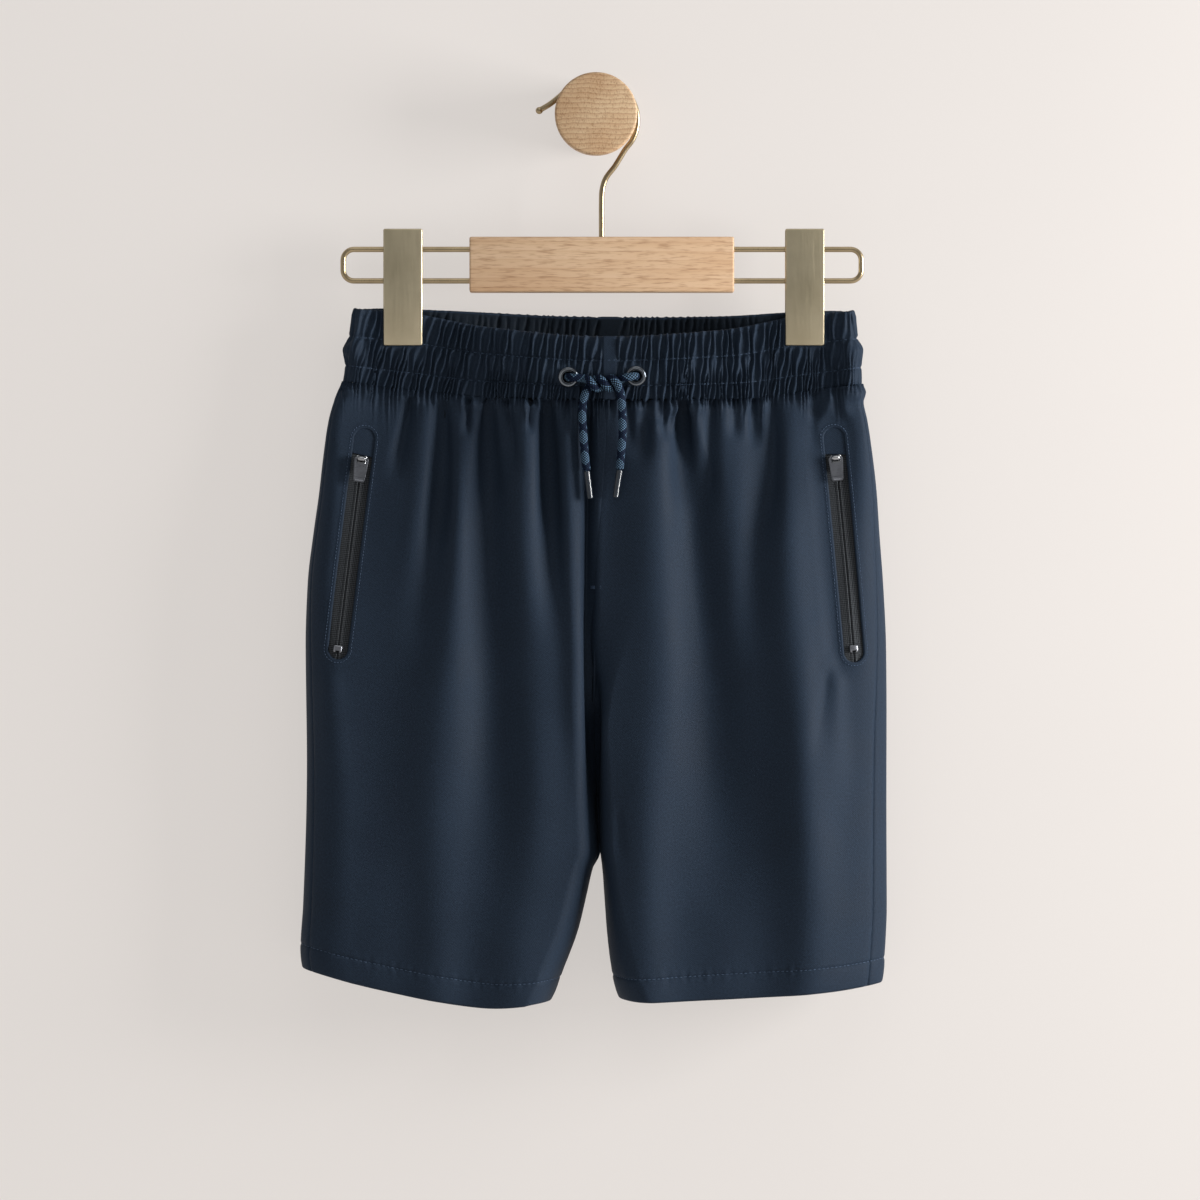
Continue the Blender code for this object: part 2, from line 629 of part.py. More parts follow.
def make_clip(side):
    """Two flat plates sprung together, on a carrier that slides along the rails."""
    middle = CLIP_X[side]
    left_edge, right_edge = middle - CLIP_WIDE / 2, middle + CLIP_WIDE / 2
    inner = PINCH_HALF + GAP
    for face, out in ((FRONT, -1), (BACK, 1)):
        near, far = HANG_Y + out * inner, HANG_Y + out * (inner + PLATE_THICK)
        low = (left_edge, min(near, far), CLIP_Z[0])
        high = (right_edge, max(near, far), CLIP_Z[1])
        name = "clip_%s_%s" % (face, side)
        plate = add_object(name, mesh_of(name, lambda grid: box(grid, low, high)), brass)
        bevel(plate, 0.35, 1)
    half = inner - GAP
    low = (left_edge + 2.5, HANG_Y - half, CARRIER_Z[0])
    high = (right_edge - 2.5, HANG_Y + half, CARRIER_Z[1])
    name = "clip_carrier_" + side
    carrier = add_object(name, mesh_of(name, lambda grid: box(grid, low, high)), brass)

    def bores(grid):
        for z in RAIL_Z:
            rod(grid, (left_edge - 5, HANG_Y, z), (right_edge + 5, HANG_Y, z),
                WIRE_D / 2 + GAP, 12)
    cut(carrier, cutter_of("clip_bores_" + side, bores))


# ---------------------------------------------------------------- cloth
def make_waistband(face):
    flat = [1 + step / BAND_CELLS for step in range(BAND_CELLS + 1)]
    if face == FRONT:
        start = [SEAM_ANGLE + SEAM_SLIP, 0.70]
    else:
        start = [SEAM_SLIP - SEAM_ANGLE, 0.0, 0.35, 0.70]
    columns = start + flat + [3 - u for u in reversed(start)]
    rows = list(BAND_GRID_ROWS)
    points = [[band_point(face, u, v) for u in columns] for v in rows]
    normals = [[band_normal(face, u, v) for u in columns] for v in rows]
    for point in points[-1]:
        point.z += GAP / 2
    band = cloth_wall("waistband_" + face, points, normals, [BAND_WALL] * len(rows), polyester)
    if face == FRONT:
        def holes(grid):
            for x, z in EYELET_AT.values():
                rod(grid, (x, BEYOND_Y, z), (x, HANG_Y - 2.0, z), EYELET_HOLE_R + 1.0, 20)
        cut(band, cutter_of("eyelet_holes", holes))


def panel_grid(face, leg):
    if face == FRONT:
        columns = [SEAM_ANGLE + SEAM_SLIP, 0.65, 0.85]
    else:
        columns = [SEAM_SLIP - SEAM_ANGLE, 0.0, 0.35, 0.70]
    columns += [1 + step / PANEL_CELLS for step in range(PANEL_CELLS + 1)]
    columns += [2.3, 2.6, 2.85, 3.0]
    points = [[panel_point(face, leg, u, v) for u in columns] for v in PANEL_GRID_ROWS]
    normals = [[panel_normal(face, leg, u, v) for u in columns] for v in PANEL_GRID_ROWS]
    for point in points[0]:
        point.z -= GAP / 2
    walls = [HEM_WALL if v > HEM_FOLD_ROW else WALL for v in PANEL_GRID_ROWS]
    return points, normals, walls


def slot_frame(leg):
    """The slot's top end, its unit direction down the cloth and its length, in x and z."""
    (x1, z1), (x2, z2) = SLOT_TOP[leg], SLOT_END[leg]
    long = hypot(x2 - x1, z2 - z1)
    return Vector((x1, z1)), Vector(((x2 - x1) / long, (z2 - z1) / long)), long


def slot_prism(grid, leg, half, start, end, round_foot=True):
    """A prism along Y with the slot's outline, from one distance down the slot to another."""
    top, down, _ = slot_frame(leg)
    across = Vector((-down.y, down.x))
    outline = []
    for step in range(9):
        angle = pi * step / 8
        outline.append(top + down * (start + half - half * sin(angle)) + across * half * cos(angle))
    if round_foot:
        for step in range(9):
            angle = pi * step / 8
            outline.append(top + down * (end - half + half * sin(angle))
                           - across * half * cos(angle))
    else:
        outline += [top + down * end - across * half, top + down * end + across * half]
    front = [grid.verts.new((p.x, BEYOND_Y, p.y)) for p in outline]
    back = [grid.verts.new((p.x, HANG_Y - 1.0, p.y)) for p in outline]
    count = len(outline)
    grid.faces.new(front)
    grid.faces.new(back)
    for i in range(count):
        grid.faces.new((front[i], front[(i + 1) % count], back[(i + 1) % count], back[i]))


def make_panel(face, leg):
    points, normals, walls = panel_grid(face, leg)
    panel = cloth_wall("%s_%s" % (face, leg), points, normals, walls, polyester)
    if face == FRONT:
        long = slot_frame(leg)[2]
        cut(panel, cutter_of("slot_" + leg,
                             lambda grid: slot_prism(grid, leg, SLOT_WIDE / 2, 0.0, long)))


def faceted_front(leg):
    """The front panel's outer face with its own flat facets, to set pieces on."""
    points = panel_grid(FRONT, leg)[0]
    columns = len(points[0])
    corners = [point for row in points for point in row]
    faces = [(r * columns + c, (r + 1) * columns + c, (r + 1) * columns + c + 1, r * columns + c + 1)
             for r in range(len(points) - 1) for c in range(columns - 1)]
    return BVHTree.FromPolygons(corners, faces)


def front_at(leg, x, z):
    """The front panel's outer point and normal at a place in its outline."""
    top, end = along(WAIST_SEAM, "x", FRONT, x), along(HEM[leg], "x", FRONT, x)
    v = (z - top) / (end - top)
    low, high = 0.0, 3.0
    inward = 1 if leg == RIGHT else -1
    for _ in range(30):
        middle = (low + high) / 2
        if (panel_point(FRONT, leg, middle, v).x - x) * inward < 0:
            low = middle
        else:
            high = middle
    point = faceted[leg].ray_cast(Vector((x, BEYOND_Y, z)), Vector((0.0, 1.0, 0.0)))[0]
    return point, panel_normal(FRONT, leg, low, v)


def slot_place(leg, down_by, across_by=0.0, out_by=0.0):
    """A point of the panel by its place along the slot, moved out of the cloth."""
    top, down, _ = slot_frame(leg)
    spot = top + down * down_by + Vector((-down.y, down.x)) * across_by
    point, normal = front_at(leg, spot.x, spot.y)
    return point + normal * out_by


def make_garage(leg):
    points, normals, walls = panel_grid(FRONT, leg)
    garage = cloth_wall("zip_garage_" + leg, points, normals, walls, polyester)
    cut(garage, cutter_of("garage_outline_" + leg, lambda grid: slot_prism(
        grid, leg, SLOT_WIDE / 2 - GAP, GAP, GARAGE_LONG, False)), 'INTERSECT')


def make_tape(leg):
    """The zip's woven tape, made from the panel's points and moved in behind the slot."""
    long = slot_frame(leg)[2]
    rows = [blend(-6.0, long + 6.0, step / 20) for step in range(21)]
    columns = [TAPE_WIDE * (step / 4 - 0.5) for step in range(5)]
    behind = WALL + 1.5 * GAP
    top, down, _ = slot_frame(leg)
    spots = [[front_at(leg, *(top + down * down_by + Vector((-down.y, down.x)) * across_by))
              for across_by in columns] for down_by in rows]
    points = [[point - normal * behind for point, normal in row] for row in spots]
    normals = [[normal for _, normal in row] for row in spots]
    cloth_wall("zip_tape_" + leg, points, normals, [TAPE_THICK] * len(rows), zip_tape)


def zip_frame(leg, down_by):
    """Local axes on the zip: x across, y up the zip, z out of the cloth."""
    here = slot_place(leg, down_by)
    up = (slot_place(leg, down_by - 5.0) - slot_place(leg, down_by + 5.0)).normalized()
    across = (slot_place(leg, down_by, 3.0) - slot_place(leg, down_by, -3.0)).normalized()
    if across.x < 0:
        across.negate()
    out = across.cross(up).normalized()
    across = up.cross(out).normalized()
    place = Matrix((across, up, out)).transposed().to_4x4()
    place.translation = here
    return place


def placed(build, place):
    """The same shape, modelled in local millimetres and set at its place."""
    def build_there(grid):
        build(grid)
        bmesh.ops.transform(grid, matrix=place, verts=grid.verts)
    return build_there


# Slider and pull tab, in the zip's own axes (x across, y up the zip, z out of the cloth)
SLIDER_WIDE, SLIDER_LONG = 7.4, 9.0
SLIDER_BASE = -1.2       # the slider's underside, just off the tape
SLIDER_TOP = 1.3
BRIDGE_WIDE, BRIDGE_THICK = 2.2, 0.9
BRIDGE_TOP = 4.6
BRIDGE_Y = (0.6, 4.0)
BRIDGE_CORNER = 0.9
TAB_AXIS_Y, TAB_AXIS_Z = 2.3, 2.5
TAB_BAR_R = 0.6
TAB_WIDE_TOP, TAB_WIDE_END = 8.2, 6.2
TAB_LONG = 13.2
TAB_THICK = 1.3
TAB_WINDOW = 3.3         # from the bar's middle to the foot of the window


def make_slider(leg):
    place = zip_frame(leg, SLIDER_AT)

    def body(grid):
        box(grid, (-SLIDER_WIDE / 2, -SLIDER_LONG / 2, SLIDER_BASE),
            (SLIDER_WIDE / 2, SLIDER_LONG / 2, SLIDER_TOP))
    slider = add_object("zip_slider_" + leg, mesh_of("zip_slider_" + leg, placed(body, place)),
                        zip_metal)
    bevel(slider, 0.5, 2)

    def bridge(grid):
        low_y, high_y = BRIDGE_Y
        half = BRIDGE_WIDE / 2
        root, thick, corner = SLIDER_TOP - 0.4, BRIDGE_THICK, BRIDGE_CORNER
        outline = [(low_y, root), (low_y, BRIDGE_TOP - corner), (low_y + corner, BRIDGE_TOP),
                   (high_y - corner, BRIDGE_TOP), (high_y, BRIDGE_TOP - corner), (high_y, root),
                   (high_y - thick, root), (high_y - thick, BRIDGE_TOP - thick),
                   (low_y + thick, BRIDGE_TOP - thick), (low_y + thick, root)]
        sides = [[grid.verts.new((x, y, z)) for y, z in outline] for x in (-half, half)]
        for side in sides:
            grid.faces.new(side)
        count = len(outline)
        for i in range(count):
            grid.faces.new((sides[0][i], sides[0][(i + 1) % count], sides[1][(i + 1) % count],
                            sides[1][i]))
    cut(slider, cutter_of("slider_bridge_" + leg, placed(bridge, place)), 'UNION')


def make_tab(leg):
    """The pull tab: a tapered plate with a window, hung by its top bar under the bridge."""
    place = zip_frame(leg, SLIDER_AT)
    pin = place @ Matrix.Translation((0.0, TAB_AXIS_Y, TAB_AXIS_Z))

    def plate(grid):
        top, end = TAB_WIDE_TOP / 2 - 0.7, TAB_WIDE_END / 2
        outline = [(-top, -0.2), (-TAB_WIDE_TOP / 2, -2.4), (-end - 0.25, -TAB_LONG + 1.2),
                   (-end + 0.9, -TAB_LONG), (end - 0.9, -TAB_LONG), (end + 0.25, -TAB_LONG + 1.2),
                   (TAB_WIDE_TOP / 2, -2.4), (top, -0.2)]
        faces = [[grid.verts.new((x, y, z)) for x, y in outline]
                 for z in (-TAB_THICK / 2, TAB_THICK / 2)]
        for face in faces:
            grid.faces.new(face)
        count = len(outline)
        for i in range(count):
            grid.faces.new((faces[0][i], faces[0][(i + 1) % count], faces[1][(i + 1) % count],
                            faces[1][i]))
    name = "pull_tab_" + leg
    tab = add_object(name, mesh_of(name, plate), pull_metal)

    def window(grid):
        half = BRIDGE_WIDE / 2 + 0.45
        box(grid, (-half, -TAB_WINDOW, -3.0), (half, TAB_BAR_R + 1.0, 3.0))
    cut(tab, cutter_of("tab_window_" + leg, placed(window, pin)))

    def bar(grid):
        half = TAB_WIDE_TOP / 2 - 0.7
        rod(grid, (-half, 0.0, 0.0), (half, 0.0, 0.0), TAB_BAR_R, 12)
    cut(tab, cutter_of("tab_bar_" + leg, placed(bar, pin)), 'UNION')
    tab.matrix_world = scaled(pin)


def scaled(place):
    """A place in millimetres as one in metres."""
    metres = place.copy()
    metres.translation = place.translation * MM
    return metres


def make_stop(leg):
    place = zip_frame(leg, STOP_AT)

    def block(grid):
        box(grid, (-2.4, -2.0, SLIDER_BASE), (2.4, 2.0, 0.4))
    name = "zip_stop_" + leg
    bevel(add_object(name, mesh_of(name, placed(block, place)), zip_metal), 0.4, 2)


def make_eyelet(side):
    x, z = EYELET_AT[side]
    top, foot = along(BAND_TOP, "x", FRONT, x), along(WAIST_SEAM, "x", FRONT, x)
    v = (z - top) / (foot - top)
    low, high = 1.0, 2.0
    for _ in range(40):
        middle = (low + high) / 2
        if band_point(FRONT, middle, v).x < x:
            low = middle
        else:
            high = middle
    surface = band_point(FRONT, low, v)
    name = "eyelet_" + side
    seat = 0.75
    eyelet = turned(name, [
        (EYELET_HOLE_R + 0.45, seat + 1.3), (EYELET_R - 1.2, seat + 1.25),
        (EYELET_R - 0.3, seat + 0.75), (EYELET_R, seat + 0.25), (EYELET_R - 0.2, seat),
        (EYELET_HOLE_R + 0.6, seat), (EYELET_HOLE_R + 0.6, -1.2), (EYELET_HOLE_R, -1.2),
        (EYELET_HOLE_R, seat + 0.8), (EYELET_HOLE_R + 0.45, seat + 1.3),
    ], gunmetal, steps=20)
    normal = band_normal(FRONT, low, v)
    eyelet.matrix_world = (Matrix.Translation(surface * MM)
                           @ normal.to_track_quat('Z', 'Y').to_matrix().to_4x4())
    return surface


def make_cord(side):
    tube("drawcord_" + side, smooth_route(CORD_ROUTE[side], 1.9), CORD_D, braid)
    end = Vector(CORD_ROUTE[side][-1])
    tip = Vector(AGLET_TIP[side])
    way = (tip - end).normalized()

    def aglet(grid):
        rod(grid, end + way * GAP, end + way * (GAP + AGLET_LONG), AGLET_D / 2, 12)
    name = "aglet_" + side
    bevel(add_object(name, mesh_of(name, aglet), aglet_clear), 0.5, 2)


for old in list(bpy.data.objects):
    bpy.data.objects.remove(old)
model = bpy.data.collections.new(NAME)
cutters = bpy.data.collections.new("Cutters")
for collection in (model, cutters):
    bpy.context.scene.collection.children.link(collection)

beech = finish("oiled beech", (0.61, 0.41, 0.24), 0.55)
brass = finish("satin champagne brass", (0.55, 0.47, 0.33), 0.35, 1.0)
polyester = finish("navy woven polyester", (0.018, 0.032, 0.062), 0.7)
zip_tape = finish("charcoal zip tape", (0.022, 0.028, 0.030), 0.75)
zip_metal = finish("nickel zip metal", (0.62, 0.63, 0.64), 0.3, 1.0)
pull_metal = finish("satin pull tab", (0.33, 0.35, 0.38), 0.35, 0.8)
gunmetal = finish("gunmetal eyelet", (0.10, 0.11, 0.12), 0.3, 1.0)
braid = finish("braided polyester cord", (0.08, 0.14, 0.24), 0.8)
aglet_clear = finish("cord tip", (0.14, 0.17, 0.21), 0.2)

make_peg()
make_hook()
make_bar()
for face in (FRONT, BACK):
    make_waistband(face)
faceted = {leg: faceted_front(leg) for leg in (RIGHT, LEFT)}
for side in (RIGHT, LEFT):
    make_rail(side)
    make_clip(side)
    make_panel(FRONT, side)
    make_panel(BACK, side)
    make_garage(side)
    make_tape(side)
    make_slider(side)
    make_tab(side)
    make_stop(side)
    make_eyelet(side)
    make_cord(side)
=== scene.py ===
import json
from collections import namedtuple
from math import pi, radians

import bmesh
import bpy
import numpy as np
from mathutils import Matrix, Vector
from mathutils.bvhtree import BVHTree


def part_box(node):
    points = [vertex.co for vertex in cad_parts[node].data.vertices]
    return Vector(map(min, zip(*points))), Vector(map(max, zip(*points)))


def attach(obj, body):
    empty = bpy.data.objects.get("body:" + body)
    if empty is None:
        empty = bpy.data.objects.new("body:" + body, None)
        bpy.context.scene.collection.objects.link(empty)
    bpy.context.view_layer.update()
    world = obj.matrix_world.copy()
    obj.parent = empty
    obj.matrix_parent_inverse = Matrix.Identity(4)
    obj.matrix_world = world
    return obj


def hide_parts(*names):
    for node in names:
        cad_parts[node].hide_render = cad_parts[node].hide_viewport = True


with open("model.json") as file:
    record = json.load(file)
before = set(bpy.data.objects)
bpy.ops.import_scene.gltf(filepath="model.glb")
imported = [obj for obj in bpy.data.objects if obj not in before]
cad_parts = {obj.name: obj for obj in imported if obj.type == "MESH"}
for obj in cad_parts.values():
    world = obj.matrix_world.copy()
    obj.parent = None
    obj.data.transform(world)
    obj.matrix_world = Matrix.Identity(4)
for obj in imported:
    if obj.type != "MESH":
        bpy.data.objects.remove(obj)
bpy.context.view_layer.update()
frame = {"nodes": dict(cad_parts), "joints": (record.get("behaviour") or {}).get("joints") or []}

# ---------------------------------------------------------------- camera, wall, floor, light
# A smooth plastered wall and floor in a warm pale grey. Soft light comes from a window on the
# viewer's right and from the ceiling, with a weaker fill from the left. The camera stands far
# off, straight ahead.
MM = 0.001
RIGHT, LEFT = "right", "left"      # the wearer's: the right leg lies at -X
FRONT, BACK = "front", "back"
HANG_Y = sum(corner.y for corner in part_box("hanger_hook")) / 2 / MM
VIEW_WIDE = 672.0                  # across the picture, at the cloth
VIEW_CENTRE = (2.2, -271.0)
CAMERA_FAR = 3500.0
SENSOR = 36.0
WALL_Y = 0.6
FLOOR_Z = -1000.0
STAGE_WIDE = 9000.0


def linear(colour):
    """The linear colour of an sRGB hex value."""
    channels = [int(colour[i:i + 2], 16) / 255 for i in (1, 3, 5)]
    return (*(c / 12.92 if c <= 0.04045 else ((c + 0.055) / 1.055) ** 2.4 for c in channels), 1.0)


def add_node(tree, kind, inputs=(), stops=(), **settings):
    """Adds a node: its settings, a ramp's colour stops, and values or links for its inputs."""
    node = tree.nodes.new("ShaderNode" + kind)
    for name, value in settings.items():
        setattr(node, name, value)
    for name, value in dict(inputs).items():
        if isinstance(value, bpy.types.NodeSocket):
            tree.links.new(value, node.inputs[name])
        else:
            node.inputs[name].default_value = value
    for index, (place, colour) in enumerate(stops):
        ramp = node.color_ramp.elements
        stop = ramp[index] if index < 2 else ramp.new(place)
        stop.position = place
        stop.color = linear(colour)
    return node


def new_material(name, **surface):
    """A Principled material, with its uniform values on the shader's own sockets."""
    material = bpy.data.materials.new(name)
    material.use_nodes = True
    shader = material.node_tree.nodes["Principled BSDF"]
    for socket, value in surface.items():
        if isinstance(value, str):
            value = linear(value)
        shader.inputs[socket.replace("_", " ")].default_value = value
    return material, material.node_tree, shader


def noise(tree, where, scale, detail, rough=0.5):
    """Soft noise, from 0 to 1, at a scale for each metre."""
    return add_node(tree, "TexNoise", {"Vector": where, "Scale": scale, "Detail": detail,
                                       "Roughness": rough}).outputs["Fac"]


def ramp(tree, value, *stops):
    """The colour at a value from 0 to 1, between stops of (place, colour)."""
    return add_node(tree, "ValToRGB", {"Fac": value}, stops=stops).outputs["Color"]


def stage_plane(name, location, turn, material):
    """A plane of the room, which is no part of the object."""
    bpy.ops.object.select_all(action='DESELECT')
    bpy.ops.mesh.primitive_plane_add(size=STAGE_WIDE * MM, location=Vector(location) * MM,
                                     rotation=turn)
    plane = bpy.context.object
    plane.name = name
    plane.data.materials.append(material)


# Painted plaster: matt, with a very faint mottling. It glows a little, for the light that a
# bright room throws back on it. Its back doesn't show.
plaster, tree, shader = new_material("warm grey painted plaster", Roughness=0.9,
                                     Specular_IOR_Level=0.2, Emission_Color="#DBD6D2",
                                     Emission_Strength=0.78)
where = add_node(tree, "TexCoord").outputs["Object"]
paint = ramp(tree, noise(tree, where, 2.2, 3.0), (0.3, "#7F7C7A"), (0.7, "#83807E"))
tree.links.new(paint, shader.inputs["Base Color"])
clear = add_node(tree, "BsdfTransparent")
facing = add_node(tree, "NewGeometry")
one_sided = add_node(tree, "MixShader", {"Fac": facing.outputs["Backfacing"], 1: shader.outputs[0],
                                         2: clear.outputs[0]})
tree.links.new(one_sided.outputs[0], tree.nodes["Material Output"].inputs["Surface"])
stage_plane("stage_wall", (0, WALL_Y, 0), (radians(90), 0, 0), plaster)
stage_plane("stage_floor", (0, 0, FLOOR_Z), (0, 0, 0), plaster)

camera = bpy.data.objects.new("camera", bpy.data.cameras.new("camera"))
bpy.context.collection.objects.link(camera)
camera.data.sensor_width = SENSOR
camera.data.lens = SENSOR * CAMERA_FAR / VIEW_WIDE
camera.location = Vector((VIEW_CENTRE[0], HANG_Y - CAMERA_FAR, VIEW_CENTRE[1])) * MM
camera.rotation_euler = (radians(90), 0.0, 0.0)
bpy.context.scene.camera = camera
bpy.context.scene.view_settings.view_transform = 'Standard'


def soft_light(name, place, size, power, colour):
    """A square soft light, aimed at the middle of the garment."""
    lamp = bpy.data.lights.new(name, 'AREA')
    lamp.shape = 'SQUARE'
    lamp.size = size * MM
    lamp.energy = power
    lamp.color = linear(colour)[:3]
    light = bpy.data.objects.new(name, lamp)
    bpy.context.collection.objects.link(light)
    light.location = Vector(place) * MM
    aim = Vector((VIEW_CENTRE[0], HANG_Y, VIEW_CENTRE[1])) * MM - light.location
    light.rotation_euler = aim.to_track_quat('-Z', 'Y').to_euler()


soft_light("window", (1500, -520, -60), 690, 44.0, "#FFFDFB")
soft_light("ceiling", (200, -1700, 2300), 2400, 18.0, "#FFFDFB")
soft_light("fill", (-1900, -1500, -300), 2200, 4.0, "#FBFCFF")
world = bpy.data.worlds.new("studio")
bpy.context.scene.world = world
world.use_nodes = True
world.node_tree.nodes["Background"].inputs["Color"].default_value = linear("#ECEBEA")
world.node_tree.nodes["Background"].inputs["Strength"].default_value = 0.32

# ---------------------------------------------------------------- drawcord
# One round cord of braided polyester, slate blue with a dark navy tracer, 4.6 mm thick. It
# comes out of the two eyelets, its ends are twisted a little more than once round each
# other, and they hang down.
CORD_D = 4.6
CORD_STEP = 0.30                   # between the rings of the finished tube
CORD_SIDES = 48
CORD_BULGE = 0.07                  # height of the braid's strands, as a share of the radius
BRAID_STRANDS = 8                  # strands that wind each way
BRAID_LEAD = 11.5                  # length of one turn of a strand
TRACER_EVERY, TRACER_WIDE = 8, 2.2     # in strands: the repeat, and how much of it is dark
CORD_ROUTE = {                     # the same points as the CAD cords
    RIGHT: [
        (-15.4, -43.8, -146.7), (-15.2, -47.4, -146.8), (-13.6, -50.4, -147.2),
        (-10.4, -51.0, -147.4), (-6.6, -50.6, -147.8), (-4.2, -52.7, -148.6),
        (-2.5, -53.5, -150.5), (-0.8, -52.7, -152.4), (1.0, -50.8, -153.2),
        (2.8, -48.9, -152.4), (4.5, -48.1, -150.5), (6.2, -48.9, -148.6),
        (8.0, -50.8, -147.8), (9.8, -52.7, -148.6), (11.6, -53.6, -150.6),
        (13.0, -53.2, -153.6), (13.9, -52.0, -157.6), (14.4, -50.9, -163.0),
        (14.7, -50.2, -170.0), (14.7, -50.3, -180.0), (13.9, -51.0, -189.8),
        (13.2, -51.5, -198.2),
    ],
    LEFT: [
        (22.3, -43.6, -146.2), (22.2, -47.2, -146.3), (20.8, -50.1, -146.6),
        (18.0, -51.2, -147.0), (15.0, -50.6, -147.6), (13.2, -48.9, -148.6),
        (11.5, -48.1, -150.5), (9.8, -48.9, -152.4), (8.0, -50.8, -153.2),
        (6.2, -52.7, -152.4), (4.5, -53.5, -150.5), (2.8, -52.7, -148.6),
        (1.0, -50.8, -147.8), (-0.8, -48.9, -148.6), (-2.6, -48.1, -150.6),
        (-4.4, -48.4, -153.2), (-6.2, -49.0, -156.8), (-7.3, -49.1, -162.0),
        (-7.6, -49.2, -169.0), (-7.1, -49.8, -178.6), (-6.3, -50.8, -189.8),
        (-5.2, -51.5, -198.8),
    ],
}
AGLET_TIP = {RIGHT: (10.8, -52.0, -214.1), LEFT: (-3.1, -52.2, -215.4)}
AGLET_LONG, AGLET_D, AGLET_CORE_D = 16.0, 3.6, 2.9
AGLET_SEAL, AGLET_RIM = 0.5, 0.5   # the film's sealed foot, and the rounding of its rims
GAP = 0.3


def walked_along(points):
    """How far each point of a line lies along it."""
    return np.concatenate(([0.0], np.cumsum(np.linalg.norm(np.diff(points, axis=0), axis=1))))


def read_along(points, walked, at):
    """The points that lie at some distances along a line."""
    return np.stack([np.interp(at, walked, points[:, k]) for k in range(3)], axis=1)


def smooth_path(points, spacing):
    """Points at an even spacing on a smooth curve through the route's own points."""
    points = np.array([points[0], *points, points[-1]], float)
    share = np.arange(24)[:, None] / 24
    fine = []
    for a, b, c, d in zip(points, points[1:], points[2:], points[3:]):
        fine.append(0.5 * (2 * b + (c - a) * share + (2 * a - 5 * b + 4 * c - d) * share ** 2
                           + (3 * b - a - 3 * c + d) * share ** 3))
    fine = np.concatenate(fine + [points[-1:]])
    walked = walked_along(fine)
    at = np.linspace(0.0, walked[-1], max(2, round(walked[-1] / spacing) + 1))
    return read_along(fine, walked, at)


def unit(vectors):
    """Vectors made one long."""
    return vectors / np.maximum(np.linalg.norm(vectors, axis=-1, keepdims=True), 1e-12)


def add_mesh(name, points, faces, corner_uv=None, material=None):
    """A smooth-shaded mesh object from points in millimetres."""
    mesh = bpy.data.meshes.new(name)
    mesh.from_pydata((np.asarray(points) * MM).tolist(), [], faces)
    if corner_uv is not None:
        mesh.uv_layers.new(name="UVMap").data.foreach_set("uv", np.ravel(corner_uv))
    if material:
        mesh.materials.append(material)
    mesh.shade_smooth()
    thing = bpy.data.objects.new(name, mesh)
    bpy.context.collection.objects.link(thing)
    return thing


def sweep(name, path, sides, radius, material):
    """A tube with closed ends. Its radius may follow the turn round it and the length along it.

    The map runs once round the tube, from 0 to 1, and along it in metres.
    """
    path = np.asarray(path, float)
    along_it = unit(np.gradient(path, axis=0))
    across = np.zeros_like(path)
    start = np.cross(along_it[0], (0.0, 1.0, 0.0) if abs(along_it[0][1]) < 0.9 else (1.0, 0, 0))
    across[0] = unit(start)
    for i in range(1, len(path)):
        carried = across[i - 1] - along_it[i] * (across[i - 1] @ along_it[i])
        across[i] = unit(carried)
    other = np.cross(along_it, across)
    turn = np.arange(sides) / sides
    walked = walked_along(path)
    reach = np.broadcast_to(radius(turn[None, :], walked[:, None]), (len(path), sides))
    angle = 2 * pi * turn[None, :, None]
    rings = path[:, None] + reach[..., None] * (across[:, None] * np.cos(angle)
                                                + other[:, None] * np.sin(angle))
    points = np.concatenate((rings.reshape(-1, 3), path[[0, -1]]))
    faces, corners = [], []
    last = len(path) - 1
    for r in range(last):
        for c in range(sides):
            d = (c + 1) % sides
            faces.append((r * sides + c, r * sides + d, (r + 1) * sides + d, (r + 1) * sides + c))
            low, high = walked[r] * MM, walked[r + 1] * MM
            corners += [(c / sides, low), ((c + 1) / sides, low), ((c + 1) / sides, high),
                        (c / sides, high)]
    for c in range(sides):
        d = (c + 1) % sides
        faces.append((len(points) - 2, d, c))
        faces.append((len(points) - 1, last * sides + c, last * sides + d))
        corners += [(c / sides, 0.0)] * 3 + [(c / sides, walked[-1] * MM)] * 3
    return add_mesh(name, points, faces, corners, material)


def braided(diameter):
    """The radius of a braided cord, with a low swelling where each strand lies on top."""
    def radius(turn, walked):
        one = BRAID_STRANDS * (turn + walked / BRAID_LEAD)
        two = BRAID_STRANDS * (turn - walked / BRAID_LEAD)
        swell = np.abs(np.sin(pi * one) * np.sin(pi * two)) ** 0.6
        return diameter / 2 * (1 - CORD_BULGE + CORD_BULGE * swell)
    return radius


def film_radius(turn, walked):
    """The tip's sleeve, drawn in a little at its foot and rounded over its rims."""
    left = np.minimum(walked, AGLET_LONG - walked)
    rounded = np.sqrt(np.clip(left / AGLET_RIM, 0.02, 1.0))
    pinched = 1.0 - 0.07 * np.clip(walked / AGLET_LONG, 0, 1)
    flats = 1.0 + 0.02 * np.cos(4 * pi * turn)
    return AGLET_D / 2 * rounded * pinched * flats


def maths(tree, operation, *values):
    """One sum in a material. Its values are numbers or links."""
    return add_node(tree, "Math", enumerate(values), operation=operation).outputs[0]


def mix(tree, share, one, two, kind='MIX'):
    """Two colours, mixed or multiplied by a share."""
    return add_node(tree, "Mix", {0: share, 6: one, 7: two}, data_type='RGBA',
                    blend_type=kind).outputs[2]


def bump(tree, shader, height, strength, deep, under=None):
    """Gives a finish fine relief, in millimetres, over the relief that lies under it."""
    inputs = {"Height": height, "Strength": strength, "Distance": deep * MM}
    if under is not None:
        inputs["Normal"] = under
    normal = add_node(tree, "Bump", inputs).outputs["Normal"]
    tree.links.new(normal, shader.inputs["Normal"])
    return normal


